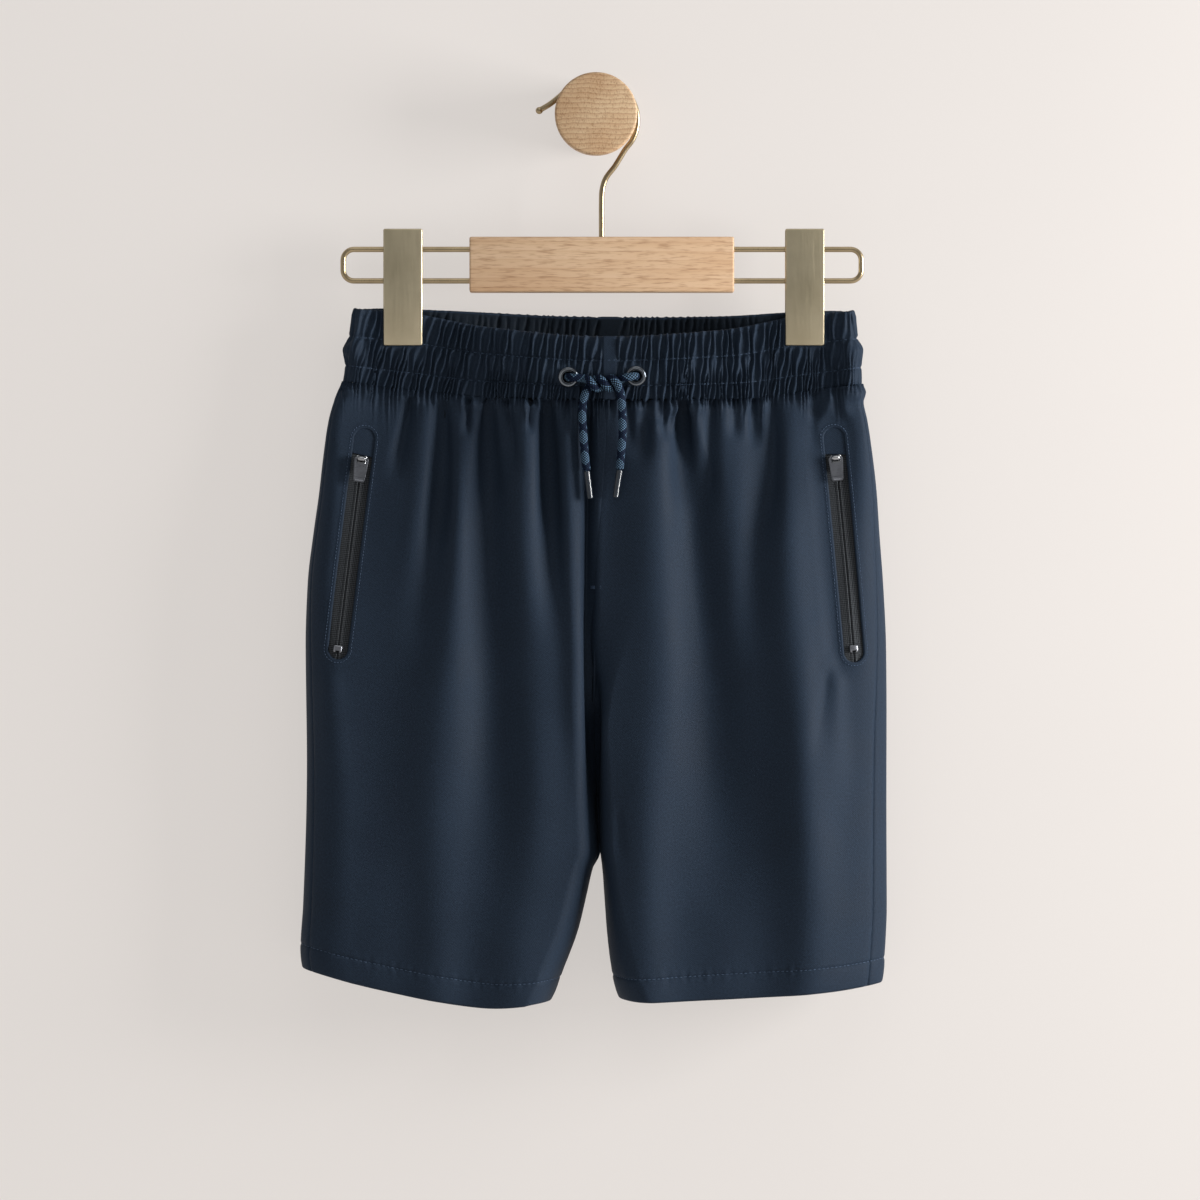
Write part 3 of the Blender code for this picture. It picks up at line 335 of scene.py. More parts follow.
def belongs(piece, body, slot, *nodes):
    """Gives a piece its body and the CAD nodes that it stands for. slot is not used."""
    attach(piece, body)
    if nodes:
        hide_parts(*nodes)


# Braided filament polyester: soft, dull yarn. A quarter of the strands that wind each way
# are dyed darker, so that dark bands cross the cord on both slants. The strands are drawn
# wider than the real ones, so that the braid shows.
braid, tree, shader = new_material("slate blue braided polyester", Roughness=0.62,
                                   Specular_IOR_Level=0.05)
spot = add_node(tree, "SeparateXYZ", {"Vector": add_node(tree, "UVMap").outputs["UV"]})
wound = maths(tree, 'DIVIDE', spot.outputs["Y"], BRAID_LEAD * MM)
ridges, tracers = [], []
for operation, start in (('ADD', 0), ('SUBTRACT', BRAID_STRANDS / 2)):
    shifted = maths(tree, operation, spot.outputs["X"], wound)
    strand = maths(tree, 'MULTIPLY_ADD', shifted, BRAID_STRANDS, start)
    wave = maths(tree, 'SINE', maths(tree, 'MULTIPLY', strand, pi))
    ridges.append(maths(tree, 'ABSOLUTE', wave))
    in_repeat = maths(tree, 'FLOORED_MODULO', strand, TRACER_EVERY)
    tracers.append(maths(tree, 'LESS_THAN', in_repeat, TRACER_WIDE))
weave = maths(tree, 'MULTIPLY', *ridges)
# Painted shade: each yarn's colour darkens down into the gaps between the strands.
light_yarn_gap_shaded = ramp(tree, weave, (0.38, "#070C15"), (0.76, "#5A7792"))
dark_yarn_gap_shaded = ramp(tree, weave, (0.1, "#070D18"), (0.8, "#162238"))
yarn = mix(tree, maths(tree, 'MAXIMUM', *tracers), light_yarn_gap_shaded, dark_yarn_gap_shaded)
tree.links.new(yarn, shader.inputs["Base Color"])
bump(tree, shader, weave, 0.6, 0.12)

# Clear acetate film, heat-shrunk round the cord's end: glossy and slightly smoky.
film, tree, shader = new_material("smoky acetate film", Base_Color="#2A323B", Roughness=0.20,
                                  IOR=1.48, Transmission_Weight=0.25, Coat_Weight=0.2)
streaks = noise(tree, add_node(tree, "TexCoord").outputs["Object"], 700.0, 2.0)
bump(tree, shader, streaks, 0.25, 0.08)

for side in (RIGHT, LEFT):
    path = smooth_path(CORD_ROUTE[side], CORD_STEP)
    cord = sweep("cord_" + side, path, CORD_SIDES, braided(CORD_D), braid)
    way = unit(np.array(AGLET_TIP[side]) - path[-1])
    core_path = path[-1] + way * np.linspace(0.0, AGLET_LONG - AGLET_SEAL, 40)[:, None]
    core = sweep("aglet_core_" + side, core_path, 24, braided(AGLET_CORE_D), braid)
    sleeve_path = path[-1] + way * (GAP + np.linspace(0.0, AGLET_LONG, 60)[:, None])
    sleeve = sweep("aglet_sleeve_" + side, sleeve_path, 28, film_radius, film)
    belongs(cord, "garment", "drawcord", "drawcord_" + side)
    belongs(core, "garment", "drawcord")
    belongs(sleeve, "garment", "aglet", "aglet_" + side)

# ---------------------------------------------------------------- wall peg
# A peg of oiled solid beech, turned on a lathe: a thick disc on a slimmer shank that stands
# against the wall. The disc shows its end grain, with the year rings lying almost level.
SHANK_R = 19.4
DISC_THICK = 12.0
PEG_EDGE = 1.3
PEG_RINGS = 2.7                    # between the year rings
NEAR = 1e-6                        # places in a mesh that are closer than this are one place


def corners_of(node):
    """The low and the high corner of a CAD node's box, in millimetres."""
    return [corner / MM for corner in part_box(node)]


def primitive(kind, name, **settings):
    """Adds a primitive with nothing else selected."""
    bpy.ops.object.select_all(action='DESELECT')
    getattr(bpy.ops.mesh, "primitive_%s_add" % kind)(**settings)
    piece = bpy.context.object
    piece.name = name
    piece.data.name = name
    return piece


def pick(*pieces):
    """Selects some pieces and nothing else, with the first as the active one."""
    bpy.ops.object.select_all(action='DESELECT')
    for piece in pieces:
        piece.select_set(True)
    bpy.context.view_layer.objects.active = pieces[0]


def choose(piece, test, kind='FACE'):
    """In edit mode, selects only the faces or edges that pass a test."""
    bpy.ops.object.mode_set(mode='EDIT')
    bpy.ops.mesh.select_mode(type=kind)
    bpy.ops.mesh.select_all(action='DESELECT')
    edited = bmesh.from_edit_mesh(piece.data)
    for item in (edited.faces if kind == 'FACE' else edited.edges):
        item.select_set(test(item))
    bmesh.update_edit_mesh(piece.data)


def level(edge):
    """True of an edge that runs across its piece's own upright axis."""
    return abs(edge.verts[0].co.z - edge.verts[1].co.z) < NEAR


def done(piece, material, body, slot, *nodes, smooth=40.0):
    """Applies a finished piece's place, and gives it its finish, body and CAD nodes."""
    if piece.mode == 'EDIT':
        bpy.ops.object.mode_set(mode='OBJECT')
    pick(piece)
    bpy.ops.object.transform_apply(location=True, rotation=True, scale=True)
    bpy.ops.object.shade_smooth_by_angle(angle=radians(smooth))
    piece.data.materials.clear()
    piece.data.materials.append(material)
    belongs(piece, body, slot, *nodes)


def jostled(tree, where, scale, detail, reach):
    """Places in a material moved about by soft noise, up to a reach along each axis."""
    wander = add_node(tree, "TexNoise", {"Vector": where, "Scale": scale, "Detail": detail})
    shift = add_node(tree, "VectorMath", {0: wander.outputs["Color"], 1: reach},
                     operation='MULTIPLY')
    return add_node(tree, "VectorMath", {0: where, 1: shift.outputs[0]},
                    operation='ADD').outputs[0]


def beech(name, grain_axis, ring_axis, ring_pitch, rings_shown):
    """Oiled beech: level year rings, and short dark flecks and rays along the grain.

    It is pale with a low, waxy shine, and duller and darker in the open late wood.
    """
    material, tree, shader = new_material(name, Roughness=0.58, Specular_IOR_Level=0.35)
    where = add_node(tree, "TexCoord").outputs["Object"]
    along_grain = [0.16 if axis == grain_axis else 1.0 for axis in "XYZ"]
    drawn = add_node(tree, "Mapping", {"Vector": where, "Scale": along_grain})
    swayed = jostled(tree, drawn.outputs[0], 34.0, 3.0, (0.0055, 0.0055, 0.0055))
    rings = add_node(tree, "TexWave", {"Vector": swayed, "Distortion": 1.2,
                                       "Scale": 2 * pi / 20 / (ring_pitch * MM), "Detail": 2.0,
                                       "Detail Scale": 0.6},
                     bands_direction=ring_axis, wave_profile='SAW')
    wood = ramp(tree, rings.outputs["Fac"], *rings_shown)
    fine = add_node(tree, "Mapping", {"Vector": where, "Scale": [
        0.10 if axis == grain_axis else (1.0 if axis == ring_axis else 1.6) for axis in "XYZ"]})
    flecks = noise(tree, fine.outputs[0], 900.0, 2.0, 0.6)
    pores = ramp(tree, flecks, (0.30, "#A98E70"), (0.50, "#FFFFFF"))
    dotted = mix(tree, 0.55, wood, pores, 'MULTIPLY')
    patches = noise(tree, drawn.outputs[0], 60.0, 2.0)
    tone = ramp(tree, patches, (0.3, "#E9D6C2"), (0.7, "#FFFAF3"))
    tree.links.new(mix(tree, 0.8, dotted, tone, 'MULTIPLY'), shader.inputs["Base Color"])
    bump(tree, shader, flecks, 0.35, 0.10)
    return material


peg_low, peg_high = corners_of("wall_peg")
PEG_R = (peg_high.x - peg_low.x) / 2
peg_wood = beech("oiled beech end grain", 'Y', 'Z', PEG_RINGS,
                 [(0.0, "#C8B497"), (0.62, "#C0A88A"), (0.9, "#B39779"), (1.0, "#A4876A")])
peg = primitive("cylinder", "peg", vertices=96, radius=PEG_R * MM, depth=DISC_THICK * MM,
                location=(0, (peg_low.y + DISC_THICK / 2) * MM, 0), rotation=(radians(90), 0, 0))
choose(peg, lambda face: len(face.verts) > 4 and face.normal.z < -0.9)
bpy.ops.mesh.inset(thickness=(PEG_R - SHANK_R) * MM)
shank_long = peg_high.y - peg_low.y - DISC_THICK
bpy.ops.mesh.extrude_region_move(TRANSFORM_OT_translate={"value": (0, shank_long * MM, 0)})
choose(peg, lambda edge: level(edge) and all(
    abs(abs(vert.co.z) - DISC_THICK / 2 * MM) < NEAR and abs(vert.co.xy.length - PEG_R * MM) < NEAR
    for vert in edge.verts), 'EDGE')
bpy.ops.mesh.bevel(offset=PEG_EDGE * MM, segments=4, affect='EDGES')
done(peg, peg_wood, "garment", "peg_wood", "wall_peg", smooth=30.0)

# ---------------------------------------------------------------- hanger wires
# Steel wire 3.1 mm thick, plated in satin champagne brass: a hook with a ball on its tip, and
# two long U loops that are let into the ends of the bar and carry the clips.
WIRE_D = 3.1
WIRE_STEP, WIRE_SIDES = 1.2, 24
HOOK_X, HOOK_Z, HOOK_R = -0.35, -2.2, 23.5
STEM_X = 3.1
BALL_R, BALL_X, BALL_Z = 2.05, -31.8, 3.1
LET_IN = 7.7                       # of each wire's end into the bar
RAIL_CORNER = 6.0
bar_low, bar_high = corners_of("hanger_bar")
RAIL_Z = [corner.z / MM + offset for corner, offset in
          zip(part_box("rail_right"), (WIRE_D / 2, -WIRE_D / 2))]


def vary_roughness(tree, shader, value, low, high):
    """Lets a finish be glossier and duller by turns, by some noise."""
    dull = add_node(tree, "MapRange", {"Value": value, "From Min": 0.3, "From Max": 0.7,
                                       "To Min": low, "To Max": high})
    tree.links.new(dull.outputs[0], shader.inputs["Roughness"])


def metal(name, colour, dark, roughness, grain_axis, scratch=0.5):
    """A plated or bare metal with fine brush lines along one axis and slight handling marks."""
    material, tree, shader = new_material(name, Metallic=1.0)
    where = add_node(tree, "TexCoord").outputs["Object"]
    drawn = add_node(tree, "Mapping", {"Vector": where, "Scale": [
        0.02 if axis == grain_axis else 1.0 for axis in "XYZ"]})
    lines = noise(tree, drawn.outputs[0], 3200.0, 3.0, 0.7)
    plating = ramp(tree, noise(tree, where, 55.0, 4.0), (0.25, dark), (0.7, colour))
    tree.links.new(plating, shader.inputs["Base Color"])
    vary_roughness(tree, shader, lines, roughness * 0.85, roughness * 1.2)
    bump(tree, shader, lines, scratch, 0.02)
    return material


def wire(name, line, node):
    """A plain round wire in the hanging plane, along a line of (x, z)."""
    path = smooth_path([(x, HANG_Y, z) for x, z in line], WIRE_STEP)
    piece = sweep(name, path, WIRE_SIDES, lambda turn, walked: WIRE_D / 2, wire_brass)
    belongs(piece, "garment", "hanger_wire", node)


wire_brass = metal("satin champagne brass wire", "#B3A283", "#9A8A6E", 0.30, 'Z', 0.2)
arc = [(HOOK_X + HOOK_R * np.cos(angle), HOOK_Z + HOOK_R * np.sin(angle))
       for angle in np.radians(np.arange(105, -46, -15))]
wire("hook_wire", [(-31.4, 3.4), (-26.0, 6.6), (-20.2, 11.2), (-14.2, 16.6), *arc,
                   (10.6, -28.0), (5.6, -34.6), (3.5, -41.0), (STEM_X, -48.0), (STEM_X, -58.0),
                   (STEM_X, bar_high.z - LET_IN)], "hanger_hook")
ball = primitive("uv_sphere", "hook_ball", segments=32, ring_count=20, radius=BALL_R * MM,
                 location=Vector((BALL_X, HANG_Y, BALL_Z)) * MM, rotation=(0, radians(58), 0))
choose(ball, lambda face: face.calc_center_median().z > BALL_R * 0.86 * MM)
bpy.ops.mesh.inset(thickness=0.2 * MM)
done(ball, wire_brass, "garment", "hanger_wire")

for side, out in ((RIGHT, -1), (LEFT, 1)):
    low, high = corners_of("rail_" + side)
    end = (high.x if out > 0 else low.x) - out * WIRE_D / 2
    root = bar_high.x if out > 0 else bar_low.x
    quarter = np.radians(np.arange(90, -1, -10))
    upper = [(end - out * RAIL_CORNER * (1 - np.cos(a)), RAIL_Z[1] - RAIL_CORNER * (1 - np.sin(a)))
             for a in quarter]
    lower = [(end - out * RAIL_CORNER * (1 - np.cos(a)), RAIL_Z[0] + RAIL_CORNER * (1 - np.sin(a)))
             for a in quarter[::-1]]
    straight = np.arange(0.0, abs(end - root) + LET_IN - RAIL_CORNER, 1.0) * out + root - out * LET_IN
    upright = np.arange(upper[-1][1] - 1.0, lower[0][1] + 0.5, -1.0)
    wire("rail_wire_" + side, [*((x, RAIL_Z[1]) for x in straight), *upper,
                               *((end, z) for z in upright), *lower,
                               *((x, RAIL_Z[0]) for x in straight[::-1])], "rail_" + side)

# ---------------------------------------------------------------- hanger bar
# A block of oiled beech with softened edges, sawn along the grain. The hook is let into its
# top and the two wire loops into its ends.
BAR_EDGE = 1.1
BAR_RINGS = 5.2                    # between the year rings
BORE_SPARE = 0.25                  # round each wire


def block(name, low, high, edge, segments=3):
    """A block between two corners, in millimetres, with rounded edges where edge isn't 0."""
    low, high = Vector(low) * MM, Vector(high) * MM
    piece = primitive("cube", name, size=1.0, location=(low + high) / 2, scale=high - low)
    bpy.ops.object.transform_apply(location=True, rotation=True, scale=True)
    if edge:
        choose(piece, lambda each: True, 'EDGE')
        bpy.ops.mesh.bevel(offset=edge * MM, segments=segments, affect='EDGES')
        bpy.ops.object.mode_set(mode='OBJECT')
    return piece


def bore(x, z, spare, long, upright=False):
    """A round cutter for a wire's bore, in the hanging plane."""
    return primitive("cylinder", "bore", vertices=32, radius=(WIRE_D / 2 + spare) * MM,
                     depth=long * MM, location=Vector((x, HANG_Y, z)) * MM,
                     rotation=(0, 0 if upright else radians(90), 0))


def cut_away(piece, cutters):
    """Cuts some pieces out of another, and removes them."""
    for cutter in cutters:
        change = piece.modifiers.new("hole", 'BOOLEAN')
        change.object = cutter
        change.operation = 'DIFFERENCE'
        with bpy.context.temp_override(object=piece, active_object=piece):
            bpy.ops.object.modifier_apply(modifier=change.name)
        bpy.data.objects.remove(cutter)


bar_wood = beech("oiled beech side grain", 'X', 'Z', BAR_RINGS,
                 [(0.0, "#D0B89E"), (0.62, "#CDB498"), (0.9, "#C8AE92"), (1.0, "#C2A688")])
bar = block("bar", bar_low, bar_high, BAR_EDGE, 4)
holes = [bore(x, z, BORE_SPARE, 2 * LET_IN) for x in (bar_low.x, bar_high.x) for z in RAIL_Z]
cut_away(bar, [bore(STEM_X, bar_high.z, BORE_SPARE, 2 * LET_IN, True), *holes])
done(bar, bar_wood, "garment", "bar_wood", "hanger_bar", smooth=30.0)

# ---------------------------------------------------------------- hanger clips
# Two pairs of flat steel plates in brushed champagne brass with bright chamfered edges. Each
# pair is sprung shut on a small carrier that slides along the wires, and pinches the cloth.
PLATE_EDGE, CARRIER_EDGE = 0.9, 0.8
CARRIER_DRILL = 40.0               # longer than the carrier is wide
plate_brass = metal("brushed champagne brass plate", "#CBC0A4", "#BBB094", 0.36, 'Z', 0.7)
for side in (RIGHT, LEFT):
    for face in (FRONT, BACK):
        node = "clip_%s_%s" % (face, side)
        plate = block("plate_%s_%s" % (face, side), *corners_of(node), PLATE_EDGE)
        done(plate, plate_brass, "garment", "clip_plate", node, smooth=28.0)
    node = "clip_carrier_" + side
    low, high = corners_of(node)
    carrier = block("carrier_" + side, low, high, CARRIER_EDGE)
    cut_away(carrier, [bore((low.x + high.x) / 2, z, GAP, CARRIER_DRILL) for z in RAIL_Z])
    done(carrier, plate_brass, "garment", "clip_plate", node, smooth=28.0)

# ---------------------------------------------------------------- waistband
# One woven tube of navy polyester, sewn round a wide elastic that gathers it into upright
# pleats. Two rows of stitching part it into an elastic casing, the drawcord's channel and a
# short gathering row. A plain strip is left flat at the middle of the front and back.
OUT = {FRONT: -1, BACK: 1}         # each face's way out, along Y
INWARD = {RIGHT: 1, LEFT: -1}      # each leg's way to the middle, along X
OTHER = {FRONT: BACK, BACK: FRONT}
WALL = 1.2
BAND_WALL = 2.4
SEAM_ANGLE = 0.40                  # the side seam, as a share of the quarter round of the side
PINCH_HALF = GAP / 2 + BAND_WALL
PINCH_OUTER, PINCH_INNER, PINCH_BELOW = 15.0, 74.0, 40.0   # it fades out, in, and out lower down
PINCH_FLAT = 1.5                   # beyond each clip's edges
PINCH_Z = (-245.0, -131.5)
PINCH_WIDENS = (-150.0, -175.0)    # heights between which it reaches farther out
SIDE_SWELL = 75.0                  # from each rounded side in to the full depth
BEYOND_X = 200.0                   # farther out than the garment
BAND_LINES = (0.365, 0.77)         # the rows of stitching, as shares of the band's height
BAND_ROWS = ((0.0, BAND_LINES[0], 0.7), (*BAND_LINES, 2.1), (BAND_LINES[1], 1.0, 1.0))
PLEAT_PITCH = 3.9                  # between the pleats of the elastic casing
PLEAT_HEIGHT = (3.2, 3.3, 3.1)     # in each row
PLEAT_SINK = 1.2                   # how much of that lies below the smooth form
PLEAT_SHARP, DENSE_SHARP = 1.7, 1.35
PLEATS_REACH = 175.0               # either way from the middle, with the sides laid flat
PLEAT_LEVEL = -140.0               # where a leaning pleat stands at its own place
CREST_LIFT = 0.22                  # how far the crests stand up over the top edge
WEAVE_PITCH = 1.3
STRIP_HALF = {FRONT: 4.3, BACK: 5.3}
STRIP_X = 7.6
EYELET_AT = {RIGHT: (-15.4, -146.7), LEFT: (22.3, -146.2)}
BORE_IN_BAND = 4.2                 # radius of the hole cut for each eyelet
CUT_Y = HANG_Y - 15.0              # middle of the cutters that open only the front
CLIP_X = {side: sum(corner.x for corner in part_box("clip_front_" + side)) / 2 / MM
          for side in (RIGHT, LEFT)}
CLIP_HALF = (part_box("clip_front_left")[1].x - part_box("clip_front_left")[0].x) / 2 / MM
CLIP_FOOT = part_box("clip_front_left")[0].z / MM

# Outline of the garment from the front: how far each side reaches at each height
Side = namedtuple("Side", "z right left")
SIDES = [
    Side(-108.0, -136.1, 144.5), Side(-123.5, -138.3, 145.9), Side(-131.0, -141.4, 149.0),
    Side(-139.5, -140.4, 148.4), Side(-149.0, -141.6, 148.5), Side(-158.5, -146.4, 149.4),
    Side(-172.0, -150.3, 152.2), Side(-190.0, -152.8, 154.5), Side(-212.0, -155.1, 156.7),
    Side(-232.0, -157.8, 157.9), Side(-262.0, -161.3, 160.1), Side(-298.0, -162.6, 162.0),
    Side(-350.0, -162.4, 162.8), Side(-442.0, -164.6, 163.2), Side(-461.0, -165.6, 162.4),
    Side(-486.0, -163.8, 160.2),
]

# Depth of the hollow garment at each height, from the hanging plane to the outer face, and
# the round of its sides and of each leg's inner edge. centre is how much of the depth is
# left at the centre seam.
Depth = namedtuple("Depth", "z front_mid front_side back_mid back_side round_right round_left"
                            " centre inner_right inner_left inner_back")
DEPTHS = [
    Depth(-108.0, 17.5, 7.0, 12.0, 6.5, 7.0, 7.0, 1.00, 9.0, 30.0, 20.0),
    Depth(-158.0, 18.0, 9.0, 13.0, 8.0, 8.0, 8.0, 1.00, 9.0, 30.0, 20.0),
    Depth(-200.0, 21.0, 14.0, 16.0, 12.0, 11.0, 11.0, 0.95, 9.5, 32.0, 22.0),
    Depth(-260.0, 24.5, 19.0, 19.0, 16.0, 13.5, 20.0, 0.90, 11.0, 28.0, 24.0),
    Depth(-300.0, 25.5, 21.0, 20.0, 17.0, 19.0, 28.0, 0.74, 12.0, 17.0, 24.0),
    Depth(-325.0, 26.0, 22.0, 20.5, 17.5, 22.0, 34.0, 0.44, 13.0, 10.0, 24.0),
    Depth(-345.0, 26.0, 22.0, 20.5, 17.5, 24.0, 39.0, 0.00, 12.0, 8.0, 23.0),
    Depth(-413.0, 26.0, 23.0, 21.0, 18.5, 27.0, 45.0, 0.00, 12.0, 8.0, 20.0),
    Depth(-495.0, 27.0, 24.5, 22.0, 20.0, 29.0, 48.0, 0.00, 15.0, 18.0, 20.0),
]

# Heights of the waistband's top edge and of the waist seam, across the garment
Edge = namedtuple("Edge", "x front back")
BAND_TOP = [
    Edge(-142.0, -108.3, -108.3), Edge(-108.0, -111.0, -109.2), Edge(-60.0, -119.5, -110.8),
    Edge(5.0, -124.6, -112.6), Edge(70.0, -121.0, -112.8), Edge(117.0, -112.5, -110.6),
    Edge(150.0, -109.6, -109.6),
]
WAIST_SEAM = [
    Edge(-142.0, -149.0, -149.0), Edge(-108.0, -153.0, -149.8), Edge(-60.0, -157.6, -150.6),
    Edge(5.0, -159.6, -151.2), Edge(80.0, -158.4, -151.0), Edge(117.0, -154.4, -150.6),
    Edge(150.0, -150.0, -150.0),
]

# Main folds, hanging from the waist seam: where each starts, passes and ends, how far it
# stands out (or sinks, if negative), and its half width at the top and at the end
Fold = namedtuple("Fold", "x_top x_mid x_end z_top z_end height wide_top wide_end")
FOLDS = {
    FRONT: [
        Fold(-89.6, -91.0, -102.0, -160.0, -330.0, -2.4, 7.0, 12.0),
        Fold(-78.5, -83.0, -93.0, -158.0, -440.0, 2.8, 9.0, 24.0),
        Fold(-65.0, -62.0, -56.0, -158.0, -480.0, -4.4, 8.0, 23.0),
        Fold(-45.0, -43.0, -21.0, -160.0, -490.0, 3.2, 9.0, 20.0),
        Fold(-28.6, -27.0, -24.0, -158.0, -310.0, -3.0, 6.0, 9.0),
        Fold(34.0, 33.0, 24.0, -175.0, -490.0, 2.4, 18.0, 24.0),
        Fold(47.0, 60.0, 66.0, -158.0, -490.0, -4.6, 8.0, 25.0),
        Fold(75.0, 76.0, 78.0, -158.0, -320.0, 2.2, 7.0, 13.0),
        Fold(90.0, 89.0, 86.0, -158.0, -320.0, -3.0, 7.0, 12.0),
        Fold(109.0, 107.0, 114.0, -160.0, -490.0, 3.0, 12.0, 25.0),
    ],
    BACK: [
        Fold(-104.0, -106.0, -112.0, -152.0, -470.0, 2.6, 9.0, 24.0),
        Fold(-84.0, -82.0, -78.0, -152.0, -430.0, -3.4, 8.0, 20.0),
        Fold(-58.0, -55.0, -46.0, -154.0, -490.0, 2.8, 9.0, 24.0),
        Fold(-33.0, -31.0, -28.0, -152.0, -330.0, -2.6, 7.0, 11.0),
        Fold(24.0, 27.0, 33.0, -152.0, -480.0, 2.6, 9.0, 23.0),
        Fold(44.0, 50.0, 62.0, -152.0, -440.0, -3.8, 8.0, 22.0),
        Fold(72.0, 80.0, 92.0, -154.0, -490.0, 3.0, 9.0, 24.0),
        Fold(101.0, 103.0, 108.0, -152.0, -350.0, -2.6, 7.0, 13.0),
    ],
}


def blend(low, high, share):
    """The value a share of the way from one to another."""
    return low + (high - low) * share


def ease(start, end, place):
    """Runs smoothly from 0 at the start to 1 at the end, and stays level beyond them."""
    share = np.clip((place - start) / (end - start), 0.0, 1.0)
    return share * share * (3.0 - 2.0 * share)


def along(rows, key, column, place):
    """Reads a table at many places, on a smooth curve that never overshoots its rows."""
    pairs = sorted((getattr(row, key), getattr(row, column)) for row in rows)
    at, value = (np.array(each, float) for each in zip(*pairs))
    rise = np.diff(value) / np.diff(at)
    product, total = rise[:-1] * rise[1:], rise[:-1] + rise[1:]
    inner = np.where(product > 0, 2 * product / np.where(total == 0, 1.0, total), 0.0)
    slope = np.concatenate((rise[:1], inner, rise[-1:]))
    place = np.clip(place, at[0], at[-1])
    i = np.clip(np.searchsorted(at, place, side='right') - 1, 0, len(at) - 2)
    span = at[i + 1] - at[i]
    t = (place - at[i]) / span
    return (value[i] * (1 + 2 * t) * (1 - t) ** 2 + value[i + 1] * t * t * (3 - 2 * t)
            + span * t * (1 - t) * (slope[i] * (1 - t) - slope[i + 1] * t))


def pinch(x, z):
    """How far the two clips press the cloth flat, from 0 to 1."""
    press = 0.0
    for side, clip_x in CLIP_X.items():
        outward = (clip_x - x) * INWARD[side]
        outer_reach = blend(PINCH_OUTER, PINCH_BELOW, ease(*PINCH_WIDENS, z))
        reach = np.where(outward > 0, outer_reach, PINCH_INNER)
        flat = CLIP_HALF + PINCH_FLAT
        press = np.maximum(press, 1.0 - ease(flat, flat + reach, abs(x - clip_x)))
    return press * ease(*PINCH_Z, z)


def folds(rows, x, z, start=0.06, slim=1.0):
    """How far some folds stand out of the smooth form.

    Each rises over the first share of its length, where it can also be slimmer.
    """
    total = np.zeros(np.broadcast(x, z).shape)
    for fold in rows:
        share = (fold.z_top - z) / (fold.z_top - fold.z_end)
        on = np.clip(share, 0.0, 1.0)
        middle = (fold.x_top * (1 - on) * (1 - 2 * on) + fold.x_mid * 4 * on * (1 - on)
                  + fold.x_end * on * (2 * on - 1))
        wide = blend(fold.wide_top, fold.wide_end, on) * blend(slim, 1.0, ease(0.0, 0.16, share))
        fade = ease(0.0, start, share) * (1.0 - ease(0.55, 1.0, share))
        total += fold.height * fade * np.exp(-((x - middle) / wide) ** 2)
    return total


def depth(face, x, z, side_x, side_turn):
    """From the hanging plane to the cloth's outer face, away from its rounded ends."""
    middle = along(DEPTHS, "z", face + "_mid", z)
    beside = along(DEPTHS, "z", face + "_side", z)
    swell = ease(0.0, SIDE_SWELL, abs(x - side_x) - side_turn)
    return blend(blend(beside, middle, swell) + folds(FOLDS[face], x, z), PINCH_HALF, pinch(x, z))


def band_relief(v):
    """The waistband's three rows swell between their lines of stitching."""
    total = 0.0
    for top, end, height in BAND_ROWS:
        arch = np.sin(pi * np.clip((v - top) / (end - top), 0.0, 1.0))
        total = total + height * np.maximum(arch, 0.0) ** 0.8
    return total


def band_face(face, u, v):
    """The waistband's smooth outer face: u is 0 at the right side and 3 at the left.

    It also gives each point's X as it would be with the rounded sides laid flat.
    """
    side_x, side_z = {}, {}
    for leg, far in ((RIGHT, -BEYOND_X), (LEFT, BEYOND_X)):
        side_z[leg] = blend(along(BAND_TOP, "x", face, far), along(WAIST_SEAM, "x", face, far), v)
        side_x[leg] = along(SIDES, "z", leg, side_z[leg])
    turn = {leg: along(DEPTHS, "z", "round_" + leg, side_z[leg]) for leg in (RIGHT, LEFT)}
    starts = side_x[RIGHT] + turn[RIGHT]
    ends = side_x[LEFT] - turn[LEFT]
    first, last = np.clip(u, 0, 1) * pi / 2, np.clip(3 - u, 0, 1) * pi / 2
    flat_x = blend(starts, ends, np.clip(u - 1, 0, 1))
    x = flat_x - turn[RIGHT] * np.cos(first) + turn[LEFT] * np.cos(last)
    z = blend(along(BAND_TOP, "x", face, x), along(WAIST_SEAM, "x", face, x), v)
    near_right = u < 1.5
    deep = depth(face, x, z, np.where(near_right, side_x[RIGHT], side_x[LEFT]),
                 np.where(near_right, turn[RIGHT], turn[LEFT]))
    rounding = np.sin(first) * np.sin(last)
    swell = band_relief(v) * (1 - pinch(x, z)) * rounding
    y = HANG_Y + OUT[face] * (deep * rounding + swell)
    laid_x = (flat_x - turn[RIGHT] * pi / 2 * np.clip(1 - u, 0, 2)
              + turn[LEFT] * pi / 2 * np.clip(u - 2, 0, 2))
    return np.stack(np.broadcast_arrays(x, y, z), axis=-1), laid_x


def band_place(face, u, v):
    """The same, running on round each side to the other face."""
    u, v = np.broadcast_arrays(np.asarray(u, float), np.asarray(v, float))
    beyond = (u < 0) | (u > 3)
    folded = np.where(u < 0, -u, np.where(u > 3, 6 - u, u))
    points, laid_x = band_face(face, folded, v)
    if beyond.any():
        points = np.where(beyond[..., None], band_face(OTHER[face], folded, v)[0], points)
        edge = np.where(u < 0, band_face(face, np.zeros_like(u), v)[1],
                        band_face(face, np.full_like(u, 3.0), v)[1])
        laid_x = np.where(beyond, 2 * edge - laid_x, laid_x)
    return points, laid_x


def normals_of(place, u, v, outward, last_u=np.inf):
    """Outward unit normals of a surface, from small steps across and down it."""
    step_u, step_v = 0.012, 0.004
    across = place(np.minimum(u + step_u, last_u), v) - place(u - step_u, v)
    down = place(u, np.minimum(v + step_v, 1.0)) - place(u, np.maximum(v - step_v, 0.0))
    return unit(np.cross(across, down)) * outward


